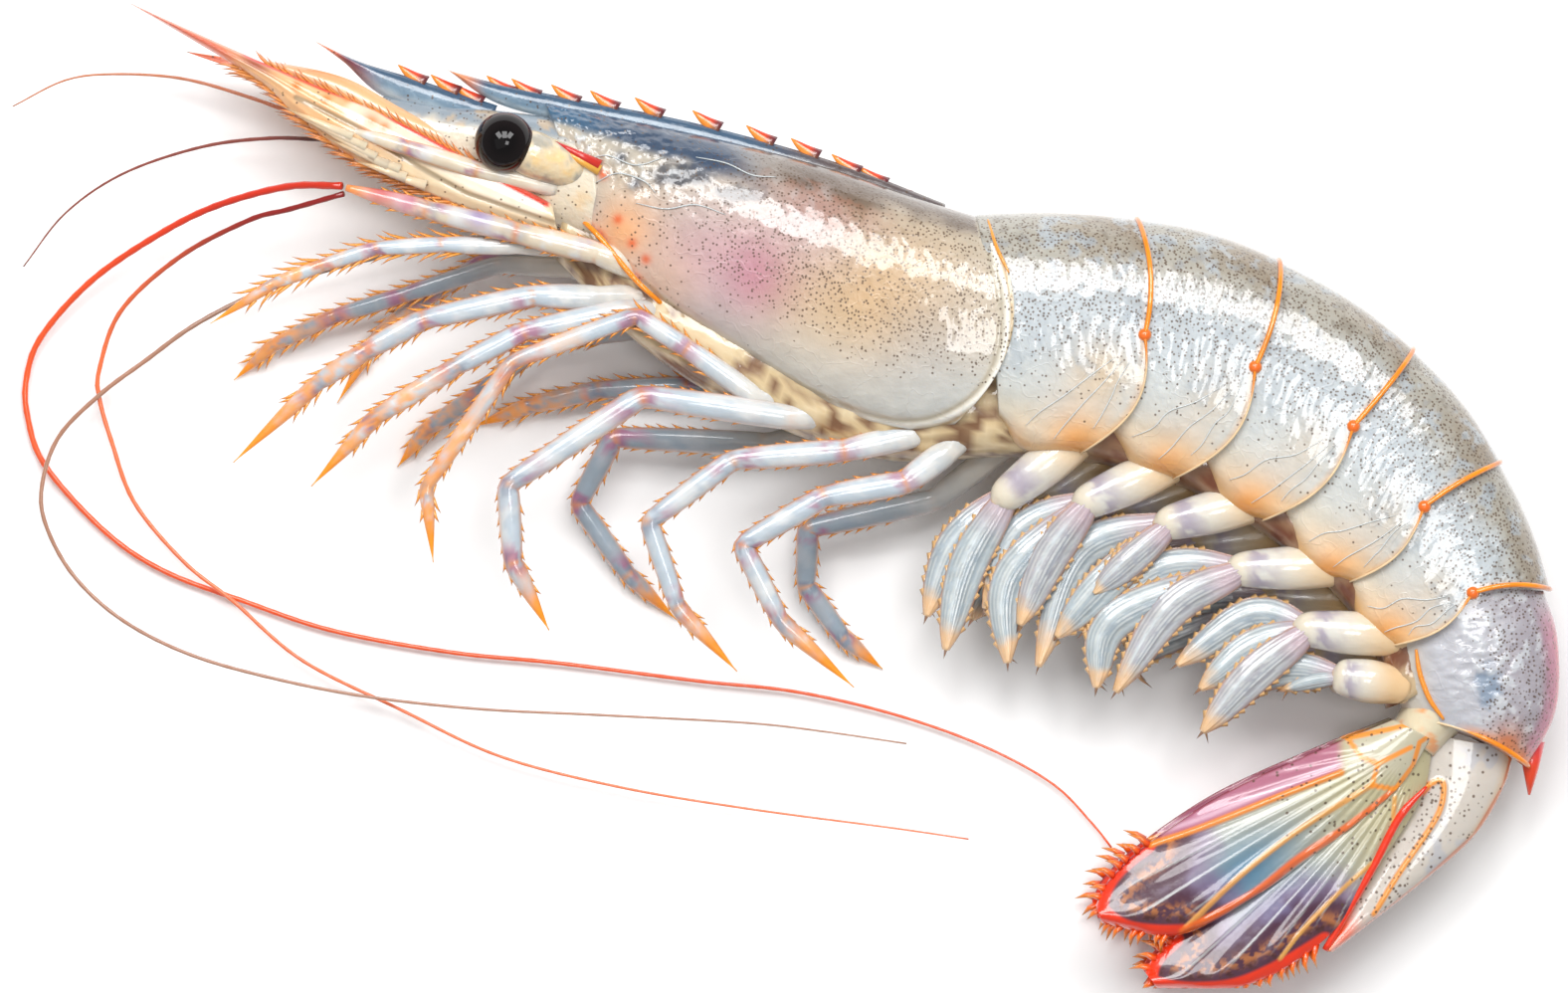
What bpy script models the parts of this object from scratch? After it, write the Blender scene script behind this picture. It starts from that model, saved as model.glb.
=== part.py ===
"""A whole raw freshwater shrimp, lying on its right flank with its left side up.

Metres, +Z up. Seen from above the head points to -X and the back to +Y. The origin is at the bottom
centre of the box round the whole animal. Places along the body are landmarks of the side view, in
picture pixels, which photo() turns into metres. Heights, widths and thicknesses are real sizes.
"""

import math

import bmesh
import bpy
import numpy as np

MM = 0.001

# Driving sizes
SPAN = 132.7 * MM  # foremost whisker to the back of the fifth segment
SPAN_PIXELS = 1561
PIXEL = SPAN / SPAN_PIXELS
CENTRE_U = 787.5
CENTRE_V = 498.5
MIDPLANE = 7.05 * MM  # height of the animal's plane of symmetry
EYE_RADIUS = 2.55 * MM
EYE_CENTRE = (508.5, 145)
EYE_SPREAD = 4.1 * MM  # from the plane of symmetry to each eye
HINGE_RADIUS = 0.6 * MM
TUCK = 0.06  # share of a segment that lies under the one before it
GROUND_DEPTH = 5 * MM

# Each rim is (back, side, belly) in pixels and the half-width there in mm
CARAPACE_RIMS = (
    ((548, 103), (566, 150), (575, 208), 2.9),
    ((640, 122), (630, 195), (636, 284), 4.6),
    ((740, 144), (735, 240), (740, 352), 6.1),
    ((840, 171), (850, 290), (838, 412), 7.0),
    ((915, 197), (940, 315), (905, 434), 7.3),
    ((986, 219), (1016, 331), (955, 430), 7.15),
)
HEAD_RIMS = (
    ((386, 97), (372, 112), (372, 128), 0.7),
    ((440, 106), (430, 135), (440, 168), 1.7),
    ((510, 112), (510, 155), (520, 212), 2.6),
    ((600, 125), (600, 180), (610, 250), 3.9),
)
BELLY_RIMS = (
    ((575, 190), (565, 225), (560, 262), 1.8),
    ((680, 280), (665, 315), (652, 354), 3.0),
    ((800, 340), (780, 378), (768, 424), 3.8),
    ((900, 370), (890, 415), (885, 462), 4.2),
    ((1010, 350), (1005, 405), (1002, 460), 4.6),
    ((1120, 370), (1095, 420), (1088, 464), 4.6),
    ((1220, 410), (1190, 450), (1178, 486), 4.5),
    ((1310, 470), (1275, 505), (1262, 532), 4.3),
    ((1390, 530), (1350, 565), (1334, 590), 4.0),
    ((1440, 600), (1405, 630), (1380, 652), 3.6),
    ((1460, 670), (1425, 695), (1392, 712), 3.0),
)
CARAPACE_STATIONS = 12
SHELL_SIDES = 18
CORE_SIDES = 12
TOP_SQUARENESS = 0.86  # 1 is an ellipse, less is squarer
RING_SQUARENESS = 0.8
UNDER_SQUARENESS = 0.45
PLATE_LOBE = 18  # how far a ring's side plate bows out behind the line from its hinge to its tip, in pixels


class Segment:
    """One abdominal ring: its back's rear corner, its hinge, its side plate and its half-widths."""

    def __init__(self, back, hinge, plate_front, plate_low, plate_tip, front_half_width, rear_half_width):
        self.back = back
        self.hinge = hinge
        self.plate_front = plate_front
        self.plate_low = plate_low
        self.plate_tip = plate_tip
        self.front_half_width = front_half_width
        self.rear_half_width = rear_half_width


ABDOMEN_FRONT_BACK = (990, 216)
ABDOMEN_FRONT_HINGE = (1004, 325)
ABDOMEN = (
    Segment((1142, 222), (1147, 338), (1003, 425), (1026, 453), (1082, 457), 6.9, 7.2),
    Segment((1284, 264), (1257, 370), (1104, 428), (1136, 468), (1176, 482), 6.85, 7.15),
    Segment((1418, 353), (1355, 429), (1204, 468), (1230, 510), (1264, 524), 6.6, 6.9),
    Segment((1505, 466), (1426, 509), (1284, 524), (1312, 572), (1350, 586), 6.1, 6.4),
    Segment((1555, 593), (1475, 595), (1348, 586), (1368, 634), (1394, 649), 5.5, 5.7),
)
BACK_BULGE = (5, 9, 9, 9, 7)  # how far each ring's back bows out of its chord, in pixels
SEGMENT_STATIONS = 6
TAIL_RIMS = (
    ((1548, 585), (1468, 596), (1384, 628), 4.9),
    ((1565, 640), (1485, 652), (1396, 668), 4.75),
    ((1564, 712), (1490, 700), (1403, 700), 4.3),
    ((1536, 770), (1482, 738), (1414, 720), 3.5),
)

# The beak over the eyes and the crest behind it: (upper edge, lower edge)
BEAK_UPPER = ((314, 40), (362, 62), (420, 80), (500, 106))
BEAK_LOWER = ((314, 40), (345, 62), (392, 100), (492, 126))
CREST_UPPER = ((449, 70), (500, 84), (570, 98), (700, 124), (840, 163), (950, 205))
CREST_LOWER = ((449, 70), (500, 104), (580, 125), (700, 150), (840, 186), (950, 216))
BEAK_THICKNESS = 1.5 * MM
TOOTH_TIPS = (
    (400, 65), (433, 75), (457, 85), (489, 76), (514, 79), (554, 85), (593, 91), (638, 98),
    (696, 111), (750, 126), (795, 139), (836, 155), (863, 167), (886, 180),
)
TOOTH_TIP_RADIUS = 0.08 * MM
TOOTH_REACH = 27  # pixels from a tooth's tip back to the middle of its foot
TOOTH_DROP = 20
TOOTH_RADIUS = 0.8 * MM

# Each eye's stalk from the head outwards: its place in pixels, its distance from the middle and its radius
EYE_STALK = (
    ((590, 172), 1.5 * MM, 1.8 * MM),
    ((552, 163), 3.0 * MM, 1.9 * MM),
    ((520, 150), 3.7 * MM, 1.7 * MM),
)

# The leaf-shaped scales beside the beak
SCALE_UPPER = ((125, 1), (265, 64), (330, 92), (390, 118), (470, 160), (556, 206))
SCALE_LOWER = ((125, 1), (255, 78), (300, 118), (370, 168), (480, 214), (562, 236))
FAR_SCALE_TIP = (183, 50)
SMALL_SCALE_UPPER = ((262, 60), (345, 78), (410, 112), (500, 150))
SMALL_SCALE_LOWER = ((262, 60), (325, 98), (400, 132), (500, 176))
SCALE_SPREADS = (2.2 * MM, 3.2 * MM)  # from the plane of symmetry, at a scale's tip and at its root
SMALL_SCALE_SPREAD = 1.0 * MM
SCALE_THICKNESS = 1.1 * MM
SCALE_ARCH = 0.4 * MM

# Limbs: side (1 near, -1 far), foot width in mm, then the joints from root to tip in pixels
LIMBS = {
    "antenna_root": (1, 2.3, ((640, 270), (600, 255), (520, 235), (430, 212), (350, 190))),
    "far_antenna_root": (-1, 2.0, ((650, 270), (600, 262), (540, 250), (470, 240))),
    "antennule_root": (1, 1.7, ((560, 190), (480, 172), (410, 150), (356, 133))),
    "jaw_leg_1": (
        1, 1.7, ((600, 250), (520, 248), (444, 247), (380, 251), (326, 268), (276, 287), (214, 326)),
    ),
    "jaw_leg_2": (-1, 1.8, ((610, 270), (500, 265), (402, 296), (332, 317), (270, 346), (230, 381))),
    "jaw_leg_3": (-1, 1.9, ((640, 290), (560, 264), (483, 262), (422, 301), (380, 332), (335, 404))),
    "claw_leg_1": (
        1, 2.4, ((690, 300), (600, 300), (537, 298), (427, 322), (368, 355), (321, 386), (237, 465)),
    ),
    "claw_leg_2": (1, 2.2, ((700, 320), (630, 312), (527, 334), (461, 369), (380, 419), (315, 489))),
    "claw_leg_3": (-1, 2.1, ((720, 345), (640, 330), (545, 340), (480, 395), (426, 431), (396, 469))),
    "claw_leg_4": (
        1, 2.1, ((860, 400), (760, 400), (690, 350), (640, 318), (516, 364), (430, 489), (437, 565)),
    ),
    "claw_leg_5": (-1, 2.2, ((860, 410), (760, 398), (690, 388), (601, 391), (530, 407), (473, 428))),
    "walking_leg_1": (1, 2.5, ((900, 412), (794, 420), (646, 398), (512, 487), (517, 565), (553, 633))),
    "walking_leg_2": (-1, 2.3, ((880, 430), (769, 446), (616, 439), (580, 506), (630, 578), (679, 624))),
    "walking_leg_3": (
        1, 2.5, ((960, 415), (919, 437), (848, 453), (737, 462), (653, 524), (682, 610), (741, 674)),
    ),
    "walking_leg_4": (
        1, 2.6, ((990, 410), (950, 455), (909, 485), (828, 499), (746, 547), (785, 624), (858, 690)),
    ),
    "walking_leg_5": (
        -1, 2.3, ((1020, 440), (940, 503), (812, 531), (810, 589), (848, 642), (888, 674)),
    ),
}
LIMB_SIDES = 6
LIMB_NARROWING = 0.07  # each joint is this share of the root's width narrower than the one before
LIMB_NECK = 0.9  # width at a joint over the width between joints
LIMB_TIP_RADIUS = 0.16 * MM
LIMB_ROOT_SPREAD = 2.6 * MM
LIMB_KNEE_SPREAD = 4.6 * MM
LIMB_TIP_SPREAD = 3.4 * MM
LIMB_FLATNESS = 0.8

# Swimmerets: root and end of the stem, then the middle and tip (u, v, u, v) of each near blade
SWIMMERETS = (
    (
        (1112, 419), (1006, 501),
        ((960, 548, 931, 619), (972, 568, 950, 653)),
    ),
    (
        (1202, 455), (1086, 507),
        ((1026, 536, 990, 612), (1016, 580, 1012, 666), (1054, 560, 1024, 628)),
    ),
    (
        (1294, 496), (1168, 527),
        ((1086, 556, 1043, 670), (1108, 588, 1061, 640), (1132, 566, 1098, 596)),
    ),
    (
        (1372, 569), (1240, 572),
        ((1166, 574, 1088, 636), (1122, 622, 1101, 691), (1178, 610, 1120, 695)),
    ),
    (
        (1428, 642), (1306, 631),
        ((1256, 620, 1182, 668), (1256, 652, 1205, 692), (1258, 678, 1207, 735)),
    ),
    (
        (1412, 690), (1342, 679),
        ((1290, 672, 1236, 700), (1318, 684, 1290, 692)),
    ),
)
STEM_WIDTH = 3.6 * MM
SWIM_BLADE_WIDTH = 3.4 * MM
SWIM_BLADE_SHARE = 0.33  # widest share of a short blade's length
SWIM_BLADE_STEP = 0.5 * MM  # how much farther out each blade of a swimmeret lies
FAR_SWIM_SHARE = 0.45  # the far swimmerets lie this share of the way to the next near one
FAR_BLADE_LIFT = 36  # pixels by which the far blades are shorter
SWIM_BLADE_THICKNESS = 0.9 * MM
SWIM_BLADE_DROP = 0.6 * MM
SWIM_BLADE_ARCH = 0.3 * MM
SWIM_SPREAD = 2.7 * MM

# Tail fan, each plate as (one edge, other edge), root first
OUTER_FAN_EDGES = (
    ((1398, 722), (1334, 748), (1228, 796), (1150, 848), (1112, 884), (1100, 908)),
    ((1436, 742), (1402, 792), (1330, 850), (1255, 902), (1182, 938), (1106, 926)),
)
INNER_FAN_EDGES = (
    ((1406, 728), (1350, 792), (1270, 862), (1200, 922), (1160, 960), (1150, 976)),
    ((1440, 745), (1428, 800), (1388, 864), (1336, 938), (1255, 988), (1162, 992)),
)
TELSON_EDGES = (
    ((1420, 735), (1416, 800), (1386, 856), (1352, 912), (1331, 954)),
    ((1522, 752), (1512, 790), (1482, 840), (1428, 888), (1340, 957)),
)
FAN_ROOT = ((1470, 690), (1442, 716), (1420, 745))
FAN_ROOT_WIDTH = 5.4 * MM
OUTER_FAN_SPREAD = 2.5 * MM  # from the plane of symmetry to each plate's root
INNER_FAN_SPREAD = 1.2 * MM
TELSON_THICKNESS = 2.6 * MM
FAN_SPLAY_NEAR = 0.8 * MM  # how much farther out a plate's end lies than its root
FAN_SPLAY_FAR = 3.3 * MM
FAN_THICKNESS = 1.0 * MM
FAN_ARCH = 0.7 * MM
TAIL_SPINE = ((1540, 745), (1537, 799))
TAIL_SPINE_RADII = (1.1 * MM, 0.12 * MM)

# Whiskers: root height and resting height in mm, root width in mm, then the route in pixels
WHISKERS = {
    "antennule_front": (
        7.6, 1.2, 0.42,
        ((346, 131), (310, 120), (250, 97), (180, 77), (110, 72), (60, 78), (7, 104)),
    ),
    "antennule_rear": (
        7.2, 0.5, 0.42,
        ((348, 137), (325, 140), (270, 138), (200, 146), (120, 172), (60, 212), (17, 266)),
    ),
    "antenna_upper": (
        10.5, 0.5, 0.66,
        (
            (345.5, 188.3), (290, 188), (220, 205), (161, 232), (89, 279), (36, 336), (20, 379), (21, 418),
            (39, 468), (100, 535), (160, 575), (240, 605), (330, 635), (450, 657), (560, 668), (700, 686),
            (800, 697), (900, 720), (990, 752), (1060, 790), (1100, 830), (1120, 855),
        ),
    ),
    "antenna_lower": (
        9.9, 1.35, 0.5,
        (
            (347, 196), (290, 211), (250, 221), (179, 257), (118, 311), (95, 371), (95, 400), (107, 443),
            (130, 505), (180, 565), (230, 605), (300, 665), (400, 715), (500, 762), (620, 793), (750, 815),
            (900, 835), (975, 846),
        ),
    ),
    "antenna_far": (
        4.0, 2.2, 0.5,
        (
            (461, 240), (400, 252), (330, 269), (257, 293), (193, 325), (143, 361), (96, 396), (54, 439),
            (37, 490), (42, 530), (70, 580), (120, 625), (190, 660), (280, 685), (370, 702), (480, 714),
            (600, 720), (750, 728), (830, 737), (912, 749),
        ),
    ),
}
WHISKER_SIDES = 6
WHISKER_TIP_SHARE = 0.3  # tip width over root width
WHISKER_STEP = 3.2 * MM
WHISKER_FALL = 38 * MM  # length over which a whisker comes down to its resting height

# Colours (linear) and roughness
BODY_COLOUR = (0.62, 0.6, 0.55)
WHISKER_COLOURS = {
    "antennule_front": (0.42, 0.18, 0.08),
    "antennule_rear": (0.16, 0.06, 0.04),
    "antenna_upper": (0.75, 0.1, 0.02),
    "antenna_lower": (0.8, 0.2, 0.08),
    "antenna_far": (0.3, 0.2, 0.15),
}


def photo(u, v):
    """The place in metres of a picture pixel."""
    return np.array(((u - CENTRE_U) * PIXEL, (CENTRE_V - v) * PIXEL))


def spline(rows, shares):
    """Rows of a Catmull-Rom curve through the given rows, at shares from 0 to 1 of its spans."""
    rows = np.asarray(rows, float)
    before = 2 * rows[:1] - rows[1:2]
    after = 2 * rows[-1:] - rows[-2:-1]
    knots = np.concatenate([before, rows, after])
    found = []
    for share in shares:
        place = min(share, 1 - 1e-9) * (len(rows) - 1)
        span = int(place)
        t = place - span
        a, b, c, d = knots[span : span + 4]
        square = 2 * a - 5 * b + 4 * c - d
        cube = 3 * b - 3 * c + d - a
        found.append(0.5 * (2 * b + (c - a) * t + square * t**2 + cube * t**3))
    return np.array(found)


def even(count):
    return np.linspace(0, 1, count)


def material(name, colour, roughness=0.25):
    made = bpy.data.materials.new(name)
    made.use_nodes = True
    surface = made.node_tree.nodes["Principled BSDF"]
    surface.inputs["Base Color"].default_value = (*colour, 1)
    surface.inputs["Roughness"].default_value = roughness
    surface.inputs["Metallic"].default_value = 0
    return made


def solid(name, points, faces, home):
    """A closed mesh object in the collection home, with its faces turned outwards."""
    mesh = bpy.data.meshes.new(name)
    mesh.from_pydata([tuple(p) for p in points], [], faces)
    shape = bmesh.new()
    shape.from_mesh(mesh)
    bmesh.ops.recalc_face_normals(shape, faces=shape.faces)
    if shape.calc_volume(signed=True) < 0:
        bmesh.ops.reverse_faces(shape, faces=shape.faces)
    shape.to_mesh(mesh)
    shape.free()
    mesh.shade_smooth()
    made = bpy.data.objects.new(name, mesh)
    home.objects.link(made)
    return made


def loft(name, rings, home):
    """A solid through rings of equal point count, closed at each end by a fan."""
    count = len(rings[0])
    points = [p for ring in rings for p in ring]
    faces = []
    for row in range(len(rings) - 1):
        for i in range(count):
            j = (i + 1) % count
            here, above = row * count, (row + 1) * count
            faces.append((here + i, here + j, above + j, above + i))
    last = (len(rings) - 1) * count
    for first in (0, last):
        middle = len(points)
        points.append(np.mean(points[first : first + count], axis=0))
        faces += [(first + i, first + (i + 1) % count, middle) for i in range(count)]
    return solid(name, points, faces, home)


def section(back, side, belly, half_width, sides, top=TOP_SQUARENESS, under=TOP_SQUARENESS, lobe=(0, 0)):
    """One ring round the body. Its side view is the curve from belly through side to back.

    A low under makes the side plates hang wide of the belly. lobe bows the curve out between belly and side.
    """
    ring = []
    for i in range(sides):
        angle = 2 * math.pi * i / sides
        width_power = top if math.cos(angle) >= 0 else under
        across = math.copysign(abs(math.sin(angle)) ** width_power, math.sin(angle))
        along = math.copysign(abs(math.cos(angle)) ** top, math.cos(angle))
        h = (1 + along) / 2
        place = belly * (1 - h) * (1 - 2 * h) + side * 4 * h * (1 - h) + back * h * (2 * h - 1)
        place = place + np.array(lobe) * max(math.sin(2 * math.pi * h), 0)
        ring.append((*place, MIDPLANE + half_width * across))
    return ring


def shell(name, rims, stations, sides, home, under=TOP_SQUARENESS):
    """A loft through rims of (back, side, belly, half-width in mm)."""
    rows = [(*photo(*b), *photo(*s), *photo(*v), w * MM) for b, s, v, w in rims]
    rings = []
    for row in spline(rows, even(stations)):
        rings.append(section(row[0:2], row[2:4], row[4:6], row[6], sides, under=under))
    return loft(name, rings, home)


def towards(start, end, share):
    return tuple(a + (b - a) * share for a, b in zip(start, end, strict=True))


def ring_segment(number, segment, before_back, before_hinge, home):
    """One ring of the abdomen: it starts tucked under the ring before it and flares to its own rear rim."""
    rings = []
    bulge = BACK_BULGE[number]
    chord = np.subtract(segment.back, before_back)
    outward = np.array((chord[1], -chord[0])) / np.hypot(*chord)
    belly_route = (segment.plate_front, segment.plate_low, segment.plate_tip)
    for share in even(SEGMENT_STATIONS):
        back = towards(before_back, segment.back, share - TUCK * (1 - share))
        back = tuple(np.add(back, outward * bulge * math.sin(math.pi * min(share * 0.9, 1))))
        hinge = towards(before_hinge, segment.hinge, share - TUCK * (1 - share))
        belly = tuple(spline(belly_route, [share])[0])
        swell = math.sin(math.pi * share / 2)
        width = segment.front_half_width + (segment.rear_half_width - segment.front_half_width) * swell
        if share == 0:
            back = towards(back, hinge, 0.05)
            belly = towards(belly, hinge, 0.12)
        run = np.subtract(hinge, belly) / np.hypot(*np.subtract(hinge, belly))
        lobe = PLATE_LOBE * share * np.array((-run[1], -run[0])) * PIXEL
        places = (photo(*back), photo(*hinge), photo(*belly))
        rings.append(section(*places, width * MM, SHELL_SIDES, RING_SQUARENESS, UNDER_SQUARENESS, lobe))
    return loft(f"ring_{number + 1}", rings, home)


def add_shells(home):
    shell("carapace", CARAPACE_RIMS, CARAPACE_STATIONS, SHELL_SIDES, home, UNDER_SQUARENESS)
    shell("head", HEAD_RIMS, 6, CORE_SIDES, home)
    shell("belly", BELLY_RIMS, 12, CORE_SIDES, home)
    back, hinge = ABDOMEN_FRONT_BACK, ABDOMEN_FRONT_HINGE
    for number, segment in enumerate(ABDOMEN):
        ring_segment(number, segment, back, hinge, home)
        back, hinge = segment.back, segment.hinge
    shell("tail_ring", TAIL_RIMS, 6, SHELL_SIDES - 2, home)


def ball(name, place, radius, home, segments=10, rings=8):
    mesh = bpy.data.meshes.new(name)
    shape = bmesh.new()
    bmesh.ops.create_uvsphere(shape, u_segments=segments, v_segments=rings, radius=radius)
    bmesh.ops.translate(shape, verts=shape.verts, vec=place)
    shape.to_mesh(mesh)
    shape.free()
    mesh.shade_smooth()
    made = bpy.data.objects.new(name, mesh)
    home.objects.link(made)
    return made


def tube(name, route, radii, home, sides=LIMB_SIDES, flatness=1.0):
    """A round or flattened tube along a route of 3-D points, its rings mitred at the bends."""
    route = np.asarray(route, float)
    rings = []
    for i, here in enumerate(route):
        ahead = route[min(i + 1, len(route) - 1)] - here
        behind = here - route[max(i - 1, 0)]
        ahead = ahead / max(np.linalg.norm(ahead), 1e-9)
        behind = behind / max(np.linalg.norm(behind), 1e-9)
        along = ahead + behind
        along = along / np.linalg.norm(along)
        across = np.array((-along[1], along[0], 0)) / math.hypot(along[0], along[1])
        up = np.cross(along, across)
        ring = []
        for k in range(sides):
            angle = 2 * math.pi * (k + 0.5) / sides
            ring.append(here + radii[i] * (across * math.cos(angle) + up * math.sin(angle) * flatness))
        rings.append(ring)
    return loft(name, rings, home)


def limb(name, side, width, joints, home):
    """A jointed leg: each length swells a little between its joints, and the last tapers to a point."""
    joints = np.array([photo(*joint) for joint in joints])
    last = len(joints) - 1
    tip_spread = LIMB_TIP_SPREAD if side > 0 else MIDPLANE - LIMB_TIP_RADIUS / 2
    spreads = np.interp(even(last + 1), (0, 0.55, 1), (LIMB_ROOT_SPREAD, LIMB_KNEE_SPREAD, tip_spread))
    joints = np.column_stack([joints, MIDPLANE + side * spreads])
    route, radii = [joints[0]], [width * MM / 2]
    for i in range(last):
        near, far = (width * MM / 2 * (1 - LIMB_NARROWING * joint) for joint in (i, i + 1))
        for share, swell in ((0.3, 1.0), (1.0, LIMB_NECK)):
            route.append(joints[i] + (joints[i + 1] - joints[i]) * share)
            radii.append((near + (far - near) * share) * swell)
    radii[-2] *= 0.85
    radii[-1] = LIMB_TIP_RADIUS
    return tube(name, route, radii, home, LIMB_SIDES, LIMB_FLATNESS)


def add_limbs(home):
    for name, (side, width, joints) in LIMBS.items():
        limb(name, side, width, joints, home)


def blade(name, edges, heights, thickness, arch, mesh_size, home):
    """A thin arched plate between two edges in the side view, thickest along its middle.

    heights are those of its root and its tip, and mesh_size is the count of rows and of columns.
    """
    root_height, tip_height = heights
    rows, columns = mesh_size
    shares = even(rows)
    one = spline([photo(*p) for p in edges[0]], shares)
    other = spline([photo(*p) for p in edges[1]], shares)
    points, upper, lower = [], {}, {}
    for row, share in enumerate(shares):
        height = root_height + (tip_height - root_height) * share
        for column in range(columns):
            across = column / (columns - 1)
            place = one[row] * (1 - across) + other[row] * across
            crown = 1 - (2 * across - 1) ** 2
            rise = height + arch * crown
            half = thickness / 2 * crown**0.5
            upper[row, column] = len(points)
            points.append((*place, rise + half))
            lower[row, column] = upper[row, column]
            if 0 < column < columns - 1:
                lower[row, column] = len(points)
                points.append((*place, rise - half))
    faces = []
    for row in range(rows - 1):
        for column in range(columns - 1):
            corners = ((row, column), (row, column + 1), (row + 1, column + 1), (row + 1, column))
            faces.append(tuple(upper[c] for c in corners))
            faces.append(tuple(lower[c] for c in reversed(corners)))
    for row in (0, rows - 1):
        edge = [upper[row, column] for column in range(columns)]
        edge += [lower[row, column] for column in range(columns - 2, 0, -1)]
        faces.append(tuple(edge))
    return solid(name, points, faces, home)


def leaf_edges(root, middle, tip, width):
    """The two edges, in pixels, of a curved leaf from root to tip."""
    shares = even(6)
    line = spline((root, middle, tip), shares)
    run = np.gradient(line, axis=0)
    across = np.column_stack([-run[:, 1], run[:, 0]]) / np.linalg.norm(run, axis=1)[:, None]
    fullness = np.sin(math.pi * (0.1 + 0.88 * shares)) ** 0.6
    spread = width / PIXEL / 2 * fullness
    return line - across * spread[:, None], line + across * spread[:, None]


def far_swimmeret(number):
    """The far side's stem and blades: those of the near side, part of the way to the next pair's."""
    root, end, blades = SWIMMERETS[number]
    next_root, next_end, next_blades = SWIMMERETS[min(number + 1, len(SWIMMERETS) - 1)]
    shift = tuple(FAR_SWIM_SHARE * (b - a) for a, b in zip(end, next_end, strict=True))
    moved = []
    for (mu, mv, tu, tv), (_, _, next_u, next_v) in zip(blades[:2], next_blades[:2], strict=True):
        tip = towards((tu, tv), (next_u, next_v), FAR_SWIM_SHARE)
        moved.append((mu + shift[0], mv + shift[1], tip[0], tip[1] - FAR_BLADE_LIFT))
    return towards(root, next_root, FAR_SWIM_SHARE), tuple(np.add(end, shift)), moved


def swimmeret(name, side, root, end, blades, home):
    """A stout stem and its blades, each blade a little farther out than the one before it."""
    spread = MIDPLANE + side * SWIM_SPREAD
    route = [
        (*photo(*root), MIDPLANE + side * 0.7 * SWIM_SPREAD),
        (*photo(*towards(root, end, 0.5)), spread),
        (*photo(*end), spread),
        (*photo(*towards(root, end, 1.08)), spread),
    ]
    half = STEM_WIDTH / 2
    tube(f"{name}_stem", route, (half * 0.8, half, half * 0.85, half * 0.35), home, 8, 0.85)
    for index, (mu, mv, tu, tv) in enumerate(blades):
        length = math.hypot(tu - end[0], tv - end[1]) * PIXEL
        width = min(SWIM_BLADE_WIDTH, SWIM_BLADE_SHARE * length)
        edges = leaf_edges(towards(end, root, 0.08), (mu, mv), (tu, tv), width)
        height = spread + side * (index - 1) * SWIM_BLADE_STEP
        heights = (height, height - SWIM_BLADE_DROP)
        blade(f"{name}_{index + 1}", edges, heights, SWIM_BLADE_THICKNESS, SWIM_BLADE_ARCH, (6, 3), home)


def add_swimmerets(home):
    """Five pairs and the small rear one."""
    for number, (root, end, blades) in enumerate(SWIMMERETS):
        swimmeret(f"swimmeret_{number + 1}_near", 1, root, end, blades, home)
        swimmeret(f"swimmeret_{number + 1}_far", -1, *far_swimmeret(number), home)


def add_beak(home):
    """The beak, the crest behind it and their row of forward-leaning teeth."""
    level = (MIDPLANE, MIDPLANE)
    blade("beak", (BEAK_UPPER, BEAK_LOWER), level, BEAK_THICKNESS, 0, (7, 3), home)
    blade("crest", (CREST_UPPER, CREST_LOWER), level, BEAK_THICKNESS, 0, (9, 3), home)
    for number, tip in enumerate(TOOTH_TIPS):
        foot = (tip[0] + TOOTH_REACH, tip[1] + TOOTH_DROP)
        route = [(*photo(*place), MIDPLANE) for place in (foot, towards(foot, tip, 0.55), tip)]
        radii = (TOOTH_RADIUS, TOOTH_RADIUS * 0.55, TOOTH_TIP_RADIUS)
        tube(f"tooth_{number + 1}", route, radii, home, 4)


def add_eyes(home):
    """The two eyes on their short stalks."""
    for side in (1, -1):
        tag = "near" if side > 0 else "far"
        ball(f"eye_{tag}", (*photo(*EYE_CENTRE), MIDPLANE + side * EYE_SPREAD), EYE_RADIUS, home)
        stalk = [(*photo(*place), MIDPLANE + side * spread) for place, spread, _ in EYE_STALK]
        tube(f"eye_stalk_{tag}", stalk, [radius for *_, radius in EYE_STALK], home, 8)


def add_scales(home):
    """A long leaf-shaped scale and a small one on each side of the beak."""
    for side in (1, -1):
        tag = "near" if side > 0 else "far"
        heights = [MIDPLANE + side * spread for spread in SCALE_SPREADS]
        tip = SCALE_UPPER[:1] if side > 0 else (FAR_SCALE_TIP,)
        edges = (tip + SCALE_UPPER[1:], tip + SCALE_LOWER[1:])
        blade(f"scale_{tag}", edges, heights, SCALE_THICKNESS, side * SCALE_ARCH, (10, 4), home)
        heights = [MIDPLANE + side * SMALL_SCALE_SPREAD] * 2
        edges = (SMALL_SCALE_UPPER, SMALL_SCALE_LOWER)
        blade(f"small_scale_{tag}", edges, heights, SCALE_THICKNESS, side * SCALE_ARCH, (5, 3), home)


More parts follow.
